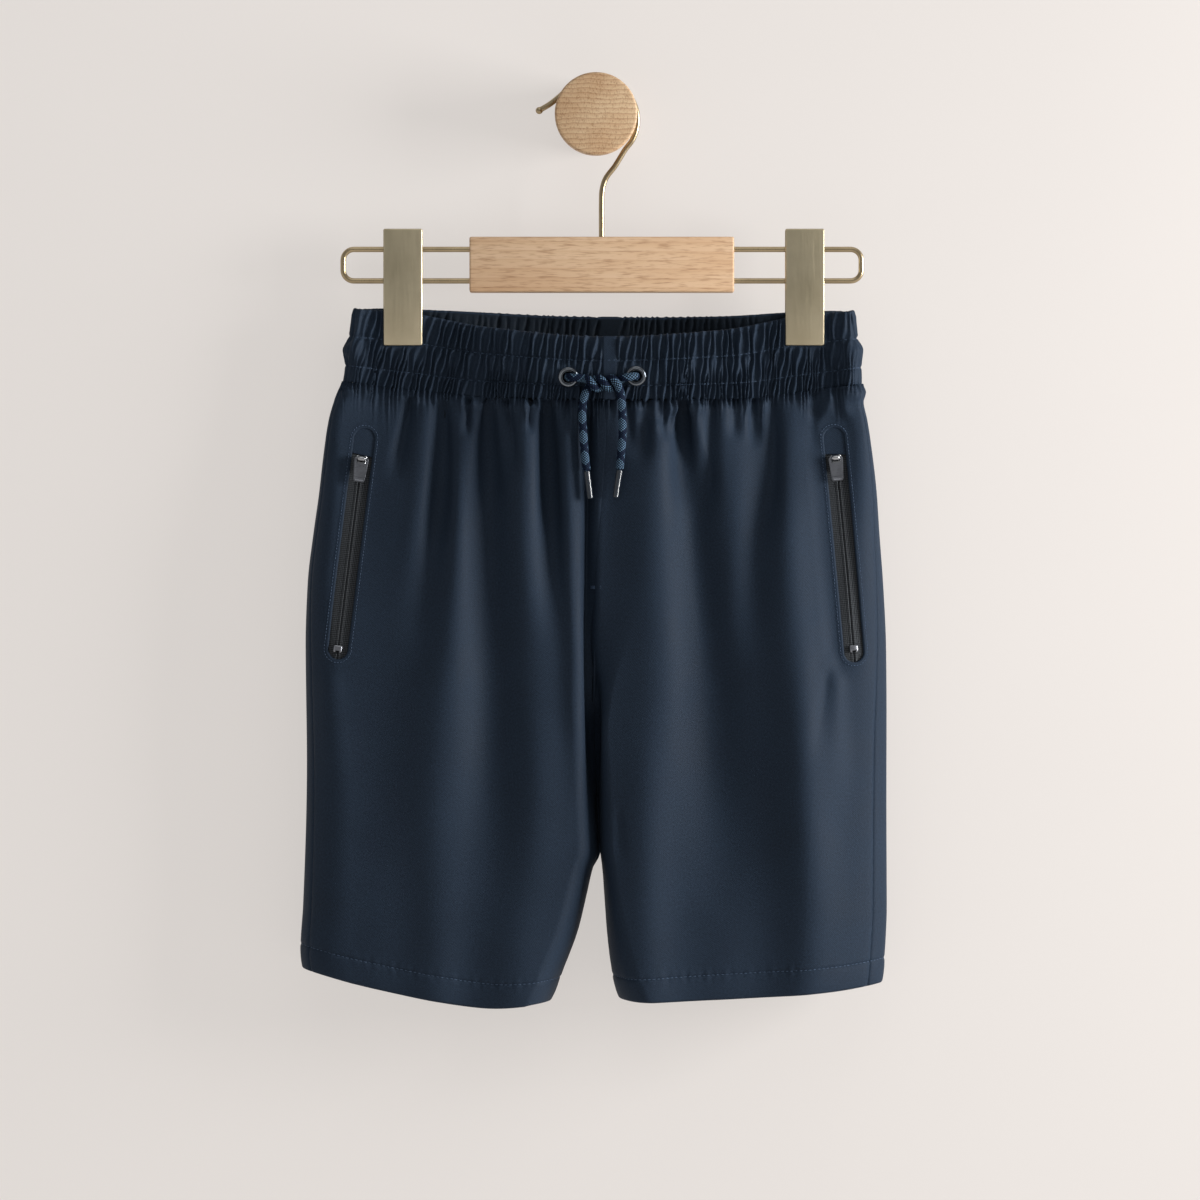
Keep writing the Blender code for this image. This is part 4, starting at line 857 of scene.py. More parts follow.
def pleats(crests, place, sharpness):
    """Gathered cloth, from 0 to 1, with a narrow ridge at each crest, and the ridges' count."""
    phase = np.interp(place, crests, np.arange(len(crests)))
    return (0.5 + 0.5 * np.cos(2 * pi * phase)) ** sharpness, phase


def crest_rows(seed):
    """Places round the band of the casing's pleats, and of the denser ones they split into."""
    random = np.random.default_rng(seed)
    crests = [-PLEATS_REACH]
    while crests[-1] < PLEATS_REACH:
        crests.append(crests[-1] + PLEAT_PITCH * random.uniform(0.62, 1.4))
    crests = np.array(crests)
    dense = []
    for before, here, after in zip(crests, crests[1:], crests[2:]):
        if random.random() < 0.45:
            dense.append(blend(here, before, random.uniform(0.18, 0.30)))
            dense.append(blend(here, after, random.uniform(0.18, 0.30)))
        else:
            dense.append(here)
    strengths = random.uniform(0.6, 1.15, len(crests)), random.uniform(0.6, 1.15, len(dense))
    return crests, np.array(dense), strengths, random.uniform(0.0, 1.0, len(dense))


PLEAT_ROWS = {FRONT: crest_rows(11), BACK: crest_rows(23)}


def lean_of(laid_x):
    """How far the pleats lean towards +X for each millimetre up, more so where X is low."""
    wander = 0.05 * np.sin(laid_x / 17.0 + 1.0) + 0.04 * np.sin(laid_x / 7.3)
    return 0.13 - 0.0007 * laid_x + wander


def band_pleats(face, points, laid_x, v):
    """How far the gathers stand out of the waistband."""
    crests, dense, strengths, _ = PLEAT_ROWS[face]
    x, z = points[..., 0], points[..., 2]
    straight = laid_x - lean_of(laid_x) * (z - PLEAT_LEVEL)
    order = pleats(crests, straight, 1.0)[1]
    snake = 0.4 * np.sin(z / 3.1 + 2.4 * order)
    into_channel = ease(BAND_LINES[0] - 0.02, BAND_LINES[0] + 0.10, v)
    into_gather = ease(BAND_LINES[1] - 0.30, BAND_LINES[1] + 0.02, v)
    jog = 0.8 * np.sin(2.4 * order + 1.0) * into_channel * (1 - into_gather)
    wide, phase = pleats(crests, straight + snake + jog, PLEAT_SHARP)
    tight, fine_phase = pleats(dense, straight + snake + 0.4 * jog, DENSE_SHARP)
    wide = wide * np.interp(phase, np.arange(len(crests)), strengths[0])
    tight = tight * np.interp(fine_phase, np.arange(len(dense)), strengths[1])
    casing = PLEAT_HEIGHT[0] * wide
    channel = PLEAT_HEIGHT[1] * (0.7 * wide + 0.3 * tight)
    gather = PLEAT_HEIGHT[2] * tight
    height = blend(blend(casing, channel, into_channel), gather, into_gather)
    for line in BAND_LINES:
        height = height * (1 - 0.6 * np.exp(-((v - line) / 0.022) ** 2))
    height = height * blend(0.6, 1.0, ease(0.0, 0.08, v))
    strip = abs(x - STRIP_X)
    flat = ease(STRIP_HALF[face] - 0.6, STRIP_HALF[face] + 1.4, strip)
    crease = -0.7 * np.exp(-((strip - STRIP_HALF[face]) / 0.55) ** 2)
    crease = crease - 0.45 * np.exp(-((strip - STRIP_HALF[face] - 1.9) / 0.5) ** 2)
    for clip_x in CLIP_X.values():
        beside = ease(CLIP_HALF, CLIP_HALF + 3.0, abs(x - clip_x))
        under = ease(CLIP_FOOT - 4.0, CLIP_FOOT, z)
        flat = flat * (1 - under * (1 - beside))
    if face == FRONT:
        for eyelet_x, eyelet_z in EYELET_AT.values():
            away = np.hypot(x - eyelet_x, z - eyelet_z)
            flat = flat * ease(4.0, 10.0, away)
    from_end = np.minimum(abs(laid_x - laid_x[:, :1]), abs(laid_x - laid_x[:, -1:]))
    flat = flat * blend(0.3, 1.0, ease(2.0, 14.0, from_end))
    return (height - PLEAT_SINK) * flat + crease * (1 - pinch(x, z))


def spread(*runs):
    """Values at an even spacing in each run of (start, end, count)."""
    parts = [np.linspace(start, end, count, endpoint=False) for start, end, count in runs]
    return np.concatenate(parts + [[runs[-1][1]]])


def walked_over(points, axis):
    """How far each point of a grid lies along its row or column, on the surface."""
    steps = np.linalg.norm(np.diff(points, axis=axis), axis=-1)
    start = np.zeros_like(steps.take([0], axis=axis))
    return np.concatenate((start, np.cumsum(steps, axis=axis)), axis=axis)


def rim_of(grid):
    """A grid's values round its edge: along the top, down, back along the foot, and up."""
    return np.concatenate((grid[0], grid[1:, -1], grid[-1, -2::-1], grid[-2:0:-1, 0]))


def cells(numbers):
    """The four corners of each cell in a grid of numbered points."""
    corners = numbers[:-1, :-1], numbers[1:, :-1], numbers[1:, 1:], numbers[:-1, 1:]
    return np.stack(corners, axis=-1).reshape(-1, 4)


def cloth_shell(name, outer, inner, bulges, turned, materials):
    """A closed sheet of cloth with rounded edges, from grids of points on its two faces.

    The inner face uses every second row and column. bulges is how far the top, right, foot
    and left edges swell out past the grids. turned is true if the rows run the other way
    round the body. The map is in metres on the cloth.
    """
    rows, columns = outer.shape[:2]
    inside = inner[::2, ::2]
    across = walked_over(outer, 1)
    across = across - across[:, columns // 2][:, None]
    flat_map = np.stack((across, walked_over(outer, 0)), axis=-1) * MM
    swell = np.zeros_like(outer)
    top, right, foot, left = bulges
    swell[0] += unit(outer[0] - outer[1]) * top
    swell[-1] += unit(outer[-1] - outer[-2]) * foot
    swell[:, -1] += unit(outer[:, -1] - outer[:, -2]) * right
    swell[:, 0] += unit(outer[:, 0] - outer[:, 1]) * left
    rings = 4
    out_rim, in_rim, swell_rim, map_rim = (rim_of(each) for each in (outer, inner, swell,
                                                                     flat_map))
    points, maps = [outer.reshape(-1, 3)], [flat_map.reshape(-1, 2)]
    for ring in range(1, rings):
        turn = pi * ring / rings
        share = (1 - np.cos(turn)) / 2
        points.append(blend(out_rim, in_rim, share) + swell_rim * np.sin(turn))
        maps.append(map_rim + share * WALL * MM)
    points.append(inside.reshape(-1, 3))
    maps.append(flat_map[::2, ::2].reshape(-1, 2))
    number = np.arange(rows * columns).reshape(rows, columns)
    rim_count = len(out_rim)
    inner_start = rows * columns + (rings - 1) * rim_count
    inner_number = inner_start + np.arange(inside.shape[0] * inside.shape[1]).reshape(
        inside.shape[:2])
    loops = [rim_of(number)] + [rows * columns + ring * rim_count + np.arange(rim_count)
                                for ring in range(rings - 1)]
    faces = cells(number).tolist()
    for a, b in zip(loops, loops[1:]):
        faces += np.stack((a, np.roll(a, -1), np.roll(b, -1), b), axis=-1).tolist()
    last, inner_rim = loops[-1], rim_of(inner_number)
    faces += np.stack((last[::2], last[1::2], np.roll(last, -2)[::2], np.roll(inner_rim, -1),
                       inner_rim), axis=-1).tolist()
    edged = len(faces)
    faces += cells(inner_number)[:, ::-1].tolist()
    if turned:
        faces = [face[::-1] for face in faces]
    maps = np.concatenate(maps)
    corner_maps = maps[np.concatenate([np.asarray(face) for face in faces])]
    piece = add_mesh(name, np.concatenate(points), faces, corner_maps, materials[0])
    piece.data.materials.append(materials[1])
    kinds = np.zeros(len(faces), dtype=np.int32)
    kinds[edged:] = 1
    piece.data.polygons.foreach_set("material_index", kinds)
    return piece


def woven(name, dark, light, weave_depth):
    """Peached plain weave of fine polyester yarn, in metres on the cloth: soft, with a low sheen.

    The weave is drawn coarser than its real 0.25 mm, so that it shows. Slow changes of tone
    stand for handling and for the way that the brushed nap lies.
    """
    material, tree, shader = new_material(name, Specular_IOR_Level=0.06, Sheen_Weight=0.02,
                                          Sheen_Roughness=0.4, Sheen_Tint="#8FA3BC")
    cloth_map = add_node(tree, "UVMap").outputs["UV"]
    loose = jostled(tree, cloth_map, 260.0, 2.0, (0.0004, 0.0004, 0.0))
    spot = add_node(tree, "SeparateXYZ", {"Vector": loose})
    yarns = []
    for axis in "XY":
        scaled = maths(tree, 'MULTIPLY', spot.outputs[axis], 2 * pi / (WEAVE_PITCH * MM))
        yarns.append(maths(tree, 'SINE', scaled))
    nap = noise(tree, cloth_map, 900.0, 4.0, 0.65)
    slow = noise(tree, cloth_map, 28.0, 3.0)
    tone = maths(tree, 'MULTIPLY_ADD', nap, 0.8, maths(tree, 'MULTIPLY', slow, 0.2))
    colour = ramp(tree, tone, (0.28, dark), (0.72, light))
    tree.links.new(colour, shader.inputs["Base Color"])
    vary_roughness(tree, shader, slow, 0.56, 0.66)
    napped = bump(tree, shader, nap, 0.25, 0.22)
    bump(tree, shader, maths(tree, 'MULTIPLY', *yarns), weave_depth, 0.05, napped)
    return material


navy = woven("navy peached polyester", "#1A222D", "#263241", 0.5)
# The inside faces are drawn darker than the outside: partly the reverse of the cloth, partly painted
# shade for the inside of the hollow garment.
navy_inside_with_painted_shade = woven("navy polyester, reverse", "#13191F", "#1B232D", 0.4)

BAND_SPREAD = {
    FRONT: spread((SEAM_ANGLE, 1.0, 16), (1.0, 2.0, 690), (2.0, 3 - SEAM_ANGLE, 16)),
    BACK: spread((-SEAM_ANGLE, 1.0, 34), (1.0, 2.0, 656), (2.0, 3 + SEAM_ANGLE, 34)),
}
BAND_ROWS_V = spread((0.0, 0.06, 6), (0.06, 1.0, 58))
SEAM_SWELL = 0.22                  # how far a sewn edge rolls into its seam
band_points = {}
for face in (FRONT, BACK):
    def place(u, v):
        return band_place(face, u, v)[0]

    u, v = np.meshgrid(BAND_SPREAD[face], BAND_ROWS_V)
    smooth, laid_x = band_place(face, u, v)
    normals = normals_of(place, u, v, OUT[face])
    relief = band_pleats(face, smooth, laid_x, v)
    relief = relief - 0.1 * np.exp(-(1 - v) / 0.02)
    for seam in (laid_x[:, :1], laid_x[:, -1:]):
        relief = relief - 0.5 * np.exp(-(laid_x - seam) ** 2 / 0.5)
    outer = smooth + normals * relief[..., None]
    loose = 1 - pinch(outer[..., 0], PINCH_Z[1])
    outer[..., 2] += CREST_LIFT * relief * np.exp(-v / 0.04) * loose
    inner = smooth + normals * (0.7 * np.maximum(relief, 0) - BAND_WALL)[..., None]
    bulges = (BAND_WALL / 2, SEAM_SWELL, SEAM_SWELL, SEAM_SWELL)
    band = cloth_shell("band_" + face, outer, inner, bulges, face == BACK, (navy, navy_inside_with_painted_shade))
    band_points[face] = outer
    if face == FRONT:
        holes = []
        for x, z in EYELET_AT.values():
            holes.append(primitive("cylinder", "eyelet_hole", vertices=40,
                                   radius=BORE_IN_BAND * MM, depth=24 * MM,
                                   rotation=(radians(90), 0, 0),
                                   location=Vector((x, CUT_Y, z)) * MM))
        cut_away(band, holes)
    belongs(band, "garment", "band_cloth", "waistband_" + face)
    across, down = walked_over(outer, 1)[:, -1], walked_over(outer, 0)[-1]

# ---------------------------------------------------------------- leg panels
# Four single layers of the same polyester, sewn to the waistband in gathers that open into
# long soft folds. They join at the sides, down the middle and at the inseams, and each hem
# is turned up and stitched.
HEM_WALL = 2.2
HEM_DEEP = 13.0                    # from the hem's edge to its line of stitching
CROTCH_Z = (-338.0, -375.0)        # the panels part into two legs over this height

# Inner edge of each leg: the centre seam down to the crotch, then the inseam
Inner = namedtuple("Inner", "z right left")
INNERS = [
    Inner(-108.0, 7.35, 7.65), Inner(-150.0, 7.15, 7.45), Inner(-200.0, 3.85, 4.15),
    Inner(-264.0, -0.15, 0.15), Inner(-338.0, -1.25, -0.75), Inner(-375.0, -0.30, 0.60),
    Inner(-411.0, 1.20, 2.30), Inner(-421.0, -2.20, 3.60), Inner(-439.0, -6.40, 5.00),
    Inner(-455.0, -10.2, 6.20), Inner(-477.0, -18.0, 8.90), Inner(-494.0, -24.6, 13.2),
]
HEM = {
    RIGHT: [Edge(-165.0, -476.0, -476.0), Edge(-122.0, -486.6, -484.5),
            Edge(-89.0, -493.2, -490.5), Edge(-57.0, -497.0, -494.0),
            Edge(-24.0, -494.2, -493.6)],
    LEFT: [Edge(13.0, -493.0, -493.0), Edge(24.0, -494.0, -492.6), Edge(64.0, -492.5, -490.0),
           Edge(104.0, -490.3, -487.6), Edge(131.0, -488.2, -486.0),
           Edge(161.0, -484.0, -484.0)],
}

# Finer folds that lie on the main ones: short, narrow creases under the waist seam, and a
# few long soft edges. The back has others like them.
FINE_FOLDS = {
    FRONT: [
        Fold(-103.0, -108.0, -113.0, -156.0, -208.0, -2.8, 2.6, 5.5),
        Fold(-95.0, -98.0, -105.0, -158.0, -285.0, 1.6, 5.0, 10.0),
        Fold(-86.0, -87.0, -92.0, -156.0, -262.0, -3.2, 3.2, 8.0),
        Fold(-71.0, -71.5, -72.0, -157.0, -182.0, -2.8, 2.2, 3.2),
        Fold(-61.5, -60.0, -57.0, -156.0, -226.0, -3.2, 3.0, 7.0),
        Fold(-50.0, -49.0, -46.0, -157.0, -206.0, -3.2, 2.6, 6.0),
        Fold(-36.0, -36.0, -36.0, -157.0, -180.0, -2.8, 1.9, 3.0),
        Fold(-28.0, -26.0, -24.0, -157.0, -246.0, -3.2, 2.8, 6.0),
        Fold(-16.5, -16.5, -16.5, -157.0, -182.0, -2.2, 2.0, 3.0),
        Fold(-17.0, -13.0, -9.5, -162.0, -400.0, 2.5, 4.2, 6.0),
        Fold(-4.4, -3.2, -0.8, -156.0, -415.0, -5.6, 3.0, 3.2),
        Fold(18.5, 18.5, 19.0, -157.0, -192.0, -2.0, 2.4, 4.0),
        Fold(28.0, 26.5, 25.0, -157.0, -200.0, -2.2, 2.8, 6.0),
        Fold(38.0, 38.5, 40.0, -157.0, -184.0, -1.9, 2.2, 4.0),
        Fold(48.5, 49.5, 51.0, -156.0, -226.0, -3.0, 3.0, 7.0),
        Fold(55.0, 53.0, 50.0, -160.0, -215.0, 1.0, 3.5, 6.0),
        Fold(66.0, 62.5, 61.0, -156.0, -232.0, -3.3, 3.2, 8.0),
        Fold(78.0, 78.0, 78.0, -157.0, -184.0, -2.0, 2.6, 4.0),
        Fold(89.0, 89.0, 89.0, -157.0, -188.0, -2.4, 2.6, 4.0),
        Fold(99.0, 97.0, 92.0, -156.0, -248.0, -2.8, 3.0, 8.0),
        Fold(122.0, 123.0, 125.0, -154.0, -192.0, -1.8, 2.2, 4.5),
        Fold(130.5, 130.0, 129.0, -151.0, -180.0, 1.6, 3.0, 4.0),
        Fold(139.0, 139.5, 140.0, -150.0, -182.0, 1.6, 3.0, 4.0),
        Fold(129.5, 127.0, 124.0, -308.0, -365.0, -0.9, 3.0, 6.0),
        Fold(133.0, 132.5, 133.0, -300.0, -400.0, 1.5, 4.5, 9.0),
        Fold(-148.0, -147.0, -143.0, -312.0, -380.0, 1.0, 6.0, 10.0),
        Fold(13.0, 13.6, 14.0, -388.0, -418.0, -0.8, 2.0, 3.5),
    ],
    BACK: [
        Fold(-112.0, -113.0, -115.0, -150.0, -196.0, -1.8, 3.0, 6.0),
        Fold(-98.0, -100.0, -103.0, -150.0, -250.0, 1.6, 4.0, 9.0),
        Fold(-84.0, -83.5, -82.0, -151.0, -214.0, -2.4, 2.4, 6.0),
        Fold(-71.0, -71.5, -73.0, -151.0, -186.0, -1.5, 2.0, 4.0),
        Fold(-61.0, -60.0, -58.0, -152.0, -232.0, 1.6, 3.6, 8.0),
        Fold(-47.0, -46.5, -45.0, -152.0, -198.0, -1.9, 2.4, 5.0),
        Fold(-33.0, -32.5, -31.0, -152.0, -220.0, -2.3, 2.3, 6.0),
        Fold(-18.0, -17.0, -14.0, -154.0, -290.0, 1.8, 4.4, 8.0),
        Fold(0.0, 0.2, 1.0, -152.0, -184.0, -1.3, 2.0, 4.0),
        Fold(17.0, 17.5, 19.0, -152.0, -206.0, -1.9, 2.2, 5.0),
        Fold(33.0, 34.0, 37.0, -152.0, -240.0, 1.6, 3.8, 8.0),
        Fold(44.0, 45.5, 49.0, -152.0, -226.0, -2.4, 2.4, 6.0),
        Fold(58.0, 58.5, 60.0, -151.0, -188.0, -1.4, 2.0, 4.0),
        Fold(78.0, 79.0, 82.0, -151.0, -214.0, -2.0, 2.3, 5.5),
        Fold(90.0, 91.0, 94.0, -151.0, -260.0, 1.6, 4.0, 9.0),
        Fold(101.0, 101.5, 103.0, -151.0, -204.0, -2.0, 2.3, 5.0),
        Fold(118.0, 118.5, 120.0, -150.0, -190.0, -1.5, 2.2, 5.0),
    ],
}


FOLD_DRAPE = 1.10                  # how much of DRAPE the thin cloth adds to the main folds
CREASE_DRAPE = 1.5                 # how much deeper the finer folds are than their rows say
SLOT_TOP = {RIGHT: (-128.8, -175.1), LEFT: (132.4, -174.6)}
SLOT_END = {RIGHT: (-144.5, -304.1), LEFT: (144.3, -305.8)}


def slot_axes(leg):
    """A pocket slot's top, its directions down and across the cloth, and its length."""
    top, end = np.array(SLOT_TOP[leg]), np.array(SLOT_END[leg])
    long = np.linalg.norm(end - top)
    down = (end - top) / long
    return top, down, np.array([-down[1], down[0]]), long


# The front's main folds again, with their soft edges: courses that the thin cloth takes
DRAPE = {
    FRONT: [
        Fold(-89.0, -90.0, -100.0, -158.0, -330.0, -3.0, 7.0, 12.0),
        Fold(-71.5, -77.0, -91.0, -157.0, -440.0, 3.0, 8.5, 24.0),
        Fold(-58.5, -52.5, -38.0, -157.0, -480.0, -4.6, 8.0, 22.0),
        Fold(-37.0, -35.0, -24.0, -159.0, -340.0, 2.6, 8.0, 13.0),
        Fold(-25.0, -24.0, -23.0, -157.0, -290.0, -3.2, 5.0, 8.5),
        Fold(34.0, 33.0, 22.0, -168.0, -490.0, 2.6, 16.0, 24.0),
        Fold(48.0, 66.0, 92.0, -157.0, -490.0, -4.8, 8.0, 25.0),
        Fold(75.0, 74.0, 76.0, -157.0, -300.0, -1.8, 7.0, 11.0),
        Fold(94.0, 91.0, 88.0, -157.0, -320.0, -2.0, 6.5, 12.0),
        Fold(110.0, 110.0, 120.0, -160.0, -490.0, 4.2, 12.0, 20.0),
    ],
    BACK: FOLDS[BACK],
}
# Broad soft bends low down in the front's legs, where the cloth hangs free
LOW_FOLDS = [
    Fold(-30.0, -40.0, -46.0, -300.0, -660.0, 5.4, 18.0, 20.0),
    Fold(-94.0, -90.0, -84.0, -290.0, -660.0, 4.0, 15.0, 16.0),
    Fold(30.0, 28.0, 27.0, -300.0, -660.0, 4.0, 13.0, 14.0),
    Fold(119.0, 118.0, 115.0, -230.0, -660.0, 6.6, 13.0, 20.0),
]


def beside_slot(leg, x, z):
    """How free the cloth is to fold: 0 along the pocket slot, and 1 some way from it."""
    top, down, across, long = slot_axes(leg)
    by_x, by_z = x - top[0], z - top[1]
    down_by, across_by = by_x * down[0] + by_z * down[1], by_x * across[0] + by_z * across[1]
    beyond = np.maximum(np.maximum(-down_by, down_by - long), 0.0)
    return ease(7.0, 18.0, np.hypot(across_by, beyond * 1.5))


def inner_edge(leg, z):
    """Both legs share one line at the centre seam and part below the crotch."""
    own = along(INNERS, "z", leg, z)
    shared = (along(INNERS, "z", RIGHT, z) + along(INNERS, "z", LEFT, z)) / 2
    return blend(shared, own, ease(*CROTCH_Z, z))


def panel_face(face, leg, u, v):
    """A leg panel's smooth outer face: u is 0 at the side, 1 to 2 across and 3 at its inner edge.

    It also gives each point's X as it would be with the rounded side laid flat.
    """
    inward = INWARD[leg]
    far = -BEYOND_X * inward
    side_z = blend(along(WAIST_SEAM, "x", face, far), along(HEM[leg], "x", face, far), v)
    inner_z = blend(along(WAIST_SEAM, "x", face, 5.0), along(HEM[leg], "x", face, 0.0), v)
    side_x, inner_x = along(SIDES, "z", leg, side_z), inner_edge(leg, inner_z)
    turn = along(DEPTHS, "z", "round_" + leg, side_z)
    reach = along(DEPTHS, "z", "inner_" + (leg if face == FRONT else BACK), inner_z)
    left_over = along(DEPTHS, "z", "centre", inner_z)
    flat_x = blend(side_x + inward * turn, inner_x - inward * reach, np.clip(u - 1, 0, 1))
    side_angle, inner_angle = np.clip(u, 0, 1) * pi / 2, np.clip(3 - u, 0, 1) * pi / 2
    x = flat_x - inward * turn * np.cos(side_angle) + inward * reach * np.cos(inner_angle)
    z = blend(along(WAIST_SEAM, "x", face, x), along(HEM[leg], "x", face, x), v)
    dip = np.sin(pi / 2 * (1 - np.cos(inner_angle)))
    share = blend(dip, np.sin(inner_angle), (1 - left_over) ** 2)
    free = beside_slot(leg, x, z) if face == FRONT else 1.0
    deep = (depth(face, x, z, side_x, turn)
            + FOLD_DRAPE * folds(DRAPE[face], x, z, 0.02, 0.4) * free * (1 - pinch(x, z)))
    if face == FRONT:
        deep = deep + folds(LOW_FOLDS, x, z, 0.3) * free
    full = deep * blend(left_over, 1.0, share)
    full = np.where(u < 1, full * np.sin(side_angle), np.maximum(full, GAP / 2))
    laid_x = x + inward * turn * (np.cos(side_angle) - pi / 2 * np.clip(1 - u, 0, 2))
    return np.stack((x, HANG_Y + OUT[face] * full, z), axis=-1), laid_x


def panel_place(face, leg, u, v):
    """The same, running on round the side to the other face where u is below 0."""
    u, v = np.broadcast_arrays(np.asarray(u, float), np.asarray(v, float))
    points, laid_x = panel_face(face, leg, abs(u), v)
    beyond = u < 0
    if beyond.any():
        points = np.where(beyond[..., None], panel_face(OTHER[face], leg, abs(u), v)[0], points)
        edge = panel_face(face, leg, np.zeros_like(u), v)[1]
        laid_x = np.where(beyond, 2 * edge - laid_x, laid_x)
    return points, laid_x


def gathers(face, laid_x, z, below):
    """The waistband's gathers run on below the seam, each to its own length."""
    _, dense, strengths, lengths = PLEAT_ROWS[face]
    straight = laid_x - lean_of(laid_x) * (z - PLEAT_LEVEL) * np.exp(-below / 30.0)
    tight, phase = pleats(dense, straight, DENSE_SHARP)
    reach = 3.0 + 10.0 * np.interp(phase, np.arange(len(dense)), lengths) ** 2
    strong = np.interp(phase, np.arange(len(dense)), strengths[1])
    return (PLEAT_HEIGHT[2] * tight * strong - PLEAT_SINK) * np.exp(-(below / reach) ** 1.5)


def slack(x, z, seed):
    """Slow, shallow unevenness of hung cloth, longer down the cloth than across it."""
    random = np.random.default_rng(seed)
    total = 0.0
    for height, across, down in ((0.30, 62.0, 240.0), (0.14, 34.0, 170.0)):
        for tilt in random.uniform(-1.0, 1.0, 2):
            start = random.uniform(0, 2 * pi)
            total = total + height * np.sin(2 * pi * (x / across + tilt * z / down) + start)
    return total


def panel_relief(face, leg, points, laid_x, from_side, from_inner, below, above_hem):
    """How far gathers, finer folds, puckers and hem stand out of a leg panel."""
    x, z = points[..., 0], points[..., 2]
    free = beside_slot(leg, x, z) if face == FRONT else 1.0
    relief = gathers(face, laid_x, z, below)
    relief = relief + CREASE_DRAPE * folds(FINE_FOLDS[face], x, z) * free
    relief = relief + slack(x, z, 5 if leg == RIGHT else 8) * ease(4.0, 50.0, below)
    puff = 1.3 + 0.8 * np.sin(laid_x / 2.9 + 1.3 * np.sin(laid_x / 7.0))
    relief = relief + puff * np.exp(-((below - 5.0) / 3.6) ** 2) - 0.2 * np.exp(-below / 1.2)
    hem = 0.45 * np.sin(pi * np.clip(above_hem / HEM_DEEP, 0, 1)) ** 0.7
    hem = hem - 0.45 * np.exp(-((above_hem - HEM_DEEP) / 0.8) ** 2)
    wave = np.sin(laid_x / 1.15 + 2.2 * np.sin(laid_x / 9.0)) * np.sin(laid_x / 3.7 + 0.6)
    hem = hem + 0.20 * wave * np.exp(-((above_hem - HEM_DEEP) / 3.5) ** 2)
    relief = relief + hem
    for away, marked in ((from_side, 0.5), (from_inner, 0.35)):
        puckers = 0.16 * np.sin(z / 1.3 + 1.5 * np.sin(z / 8.0)) * np.exp(-away / 3.0)
        groove = 0.22 * np.exp(-((away - 2.2) / 1.3) ** 2) - 0.6 * np.exp(-(away / 0.55) ** 2)
        relief = relief + marked * (puckers + groove)
    return relief


PANEL_SPREAD = {
    (FRONT, RIGHT): spread((SEAM_ANGLE, 1.0, 14), (1.0, 2.0, 252), (2.0, 3.0, 34)),
    (FRONT, LEFT): spread((SEAM_ANGLE, 1.0, 14), (1.0, 2.0, 220), (2.0, 3.0, 66)),
    (BACK, RIGHT): spread((-SEAM_ANGLE, 1.0, 36), (1.0, 2.0, 190), (2.0, 3.0, 40)),
    (BACK, LEFT): spread((-SEAM_ANGLE, 1.0, 36), (1.0, 2.0, 190), (2.0, 3.0, 40)),
}
PANEL_ROWS = {
    FRONT: spread((0.0, 0.10, 42), (0.10, 0.94, 82), (0.94, 1.0, 46)),
    BACK: spread((0.0, 0.10, 34), (0.10, 0.94, 60), (0.94, 1.0, 36)),
}
# Heights over which the legs part, and how far aside. The back's part lower down, a little
# to the left, so that no light shows between the legs above the crotch.
MEET = {FRONT: (-396.0, -376.0, 0.0), BACK: (-422.0, -412.0, 1.3)}
SEAM_OVER = 0.5                    # how far each leg's edge passes the centre seam
panels, panel_points, panel_above_hem = {}, {}, {}
for face in (FRONT, BACK):
    for leg in (RIGHT, LEFT):
        def place(u, v):
            return panel_place(face, leg, u, v)[0]

        u, v = np.meshgrid(PANEL_SPREAD[face, leg], PANEL_ROWS[face])
        smooth, laid_x = panel_place(face, leg, u, v)
        sign = INWARD[leg] * OUT[face]
        normals = normals_of(place, u, v, sign, 3.0)
        across, down = walked_over(smooth, 1), walked_over(smooth, 0)
        above_hem = down[-1] - down
        relief = panel_relief(face, leg, smooth, laid_x, across, across[:, -1:] - across,
                              down, above_hem)
        outer = smooth + normals * relief[..., None]
        parted, joined, aside = MEET[face]
        meet = ease(parted, joined, smooth[..., 2]) * np.exp(-(across[:, -1:] - across) / 2.5)
        to_seam = (inner_edge(leg, smooth[..., 2]) - outer[..., 0][:, -1:]
                   + SEAM_OVER * INWARD[leg] + aside)
        outer[..., 0] += meet * to_seam
        wall = blend(HEM_WALL, WALL, ease(HEM_DEEP - 0.5, HEM_DEEP + 0.5, above_hem))
        inner = smooth + normals * (np.where(relief > 0, 0.8, 1.0) * relief - wall)[..., None]
        inner[..., 0] += meet * to_seam
        bulges = (SEAM_SWELL, SEAM_SWELL, HEM_WALL / 2, SEAM_SWELL)
        panel = cloth_shell("panel_%s_%s" % (face, leg), outer, inner, bulges, sign > 0,
                            (navy, navy_inside_with_painted_shade))
        panels[face, leg] = panel
        panel_points[face, leg], panel_above_hem[face, leg] = outer, above_hem
        belongs(panel, "garment", "leg_cloth", "%s_%s" % (face, leg))
        wide, long = walked_over(outer, 1)[:, -1], walked_over(outer, 0)[-1]

# ---------------------------------------------------------------- pocket slots
# Each front panel has a long slot with rounded ends. Its cloth is turned in over a soft edge
# and sewn down all round, and a short flap at its top hides the end of the zip.
SLOT_HALF = 5.8
CUT_WIDER = 0.9                    # the cut edge lies under the turned-in cloth
GARAGE_LONG = 14.6
FLAP_SIDE = 0.5                    # beyond the slot's own half width, under its edge
FLAP_BEHIND, FLAP_BOW, FLAP_BACK = 0.45, 0.25, 1.35
LOOK_FROM_Y = -95.0                # in front of all the cloth
# Section of the turned-in edge: how far each point lies outside the slot, and its height
TURNED_EDGE = [(3.4, -0.04), (2.8, 0.01), (2.35, 0.04), (2.0, -0.02), (1.6, 0.10), (1.0, 0.16),
               (0.45, 0.10), (0.02, -0.15), (-0.2, -0.6), (-0.18, -1.2), (0.3, -1.38),
               (0.75, -1.1), (0.86, -0.3), (0.95, -0.14)]


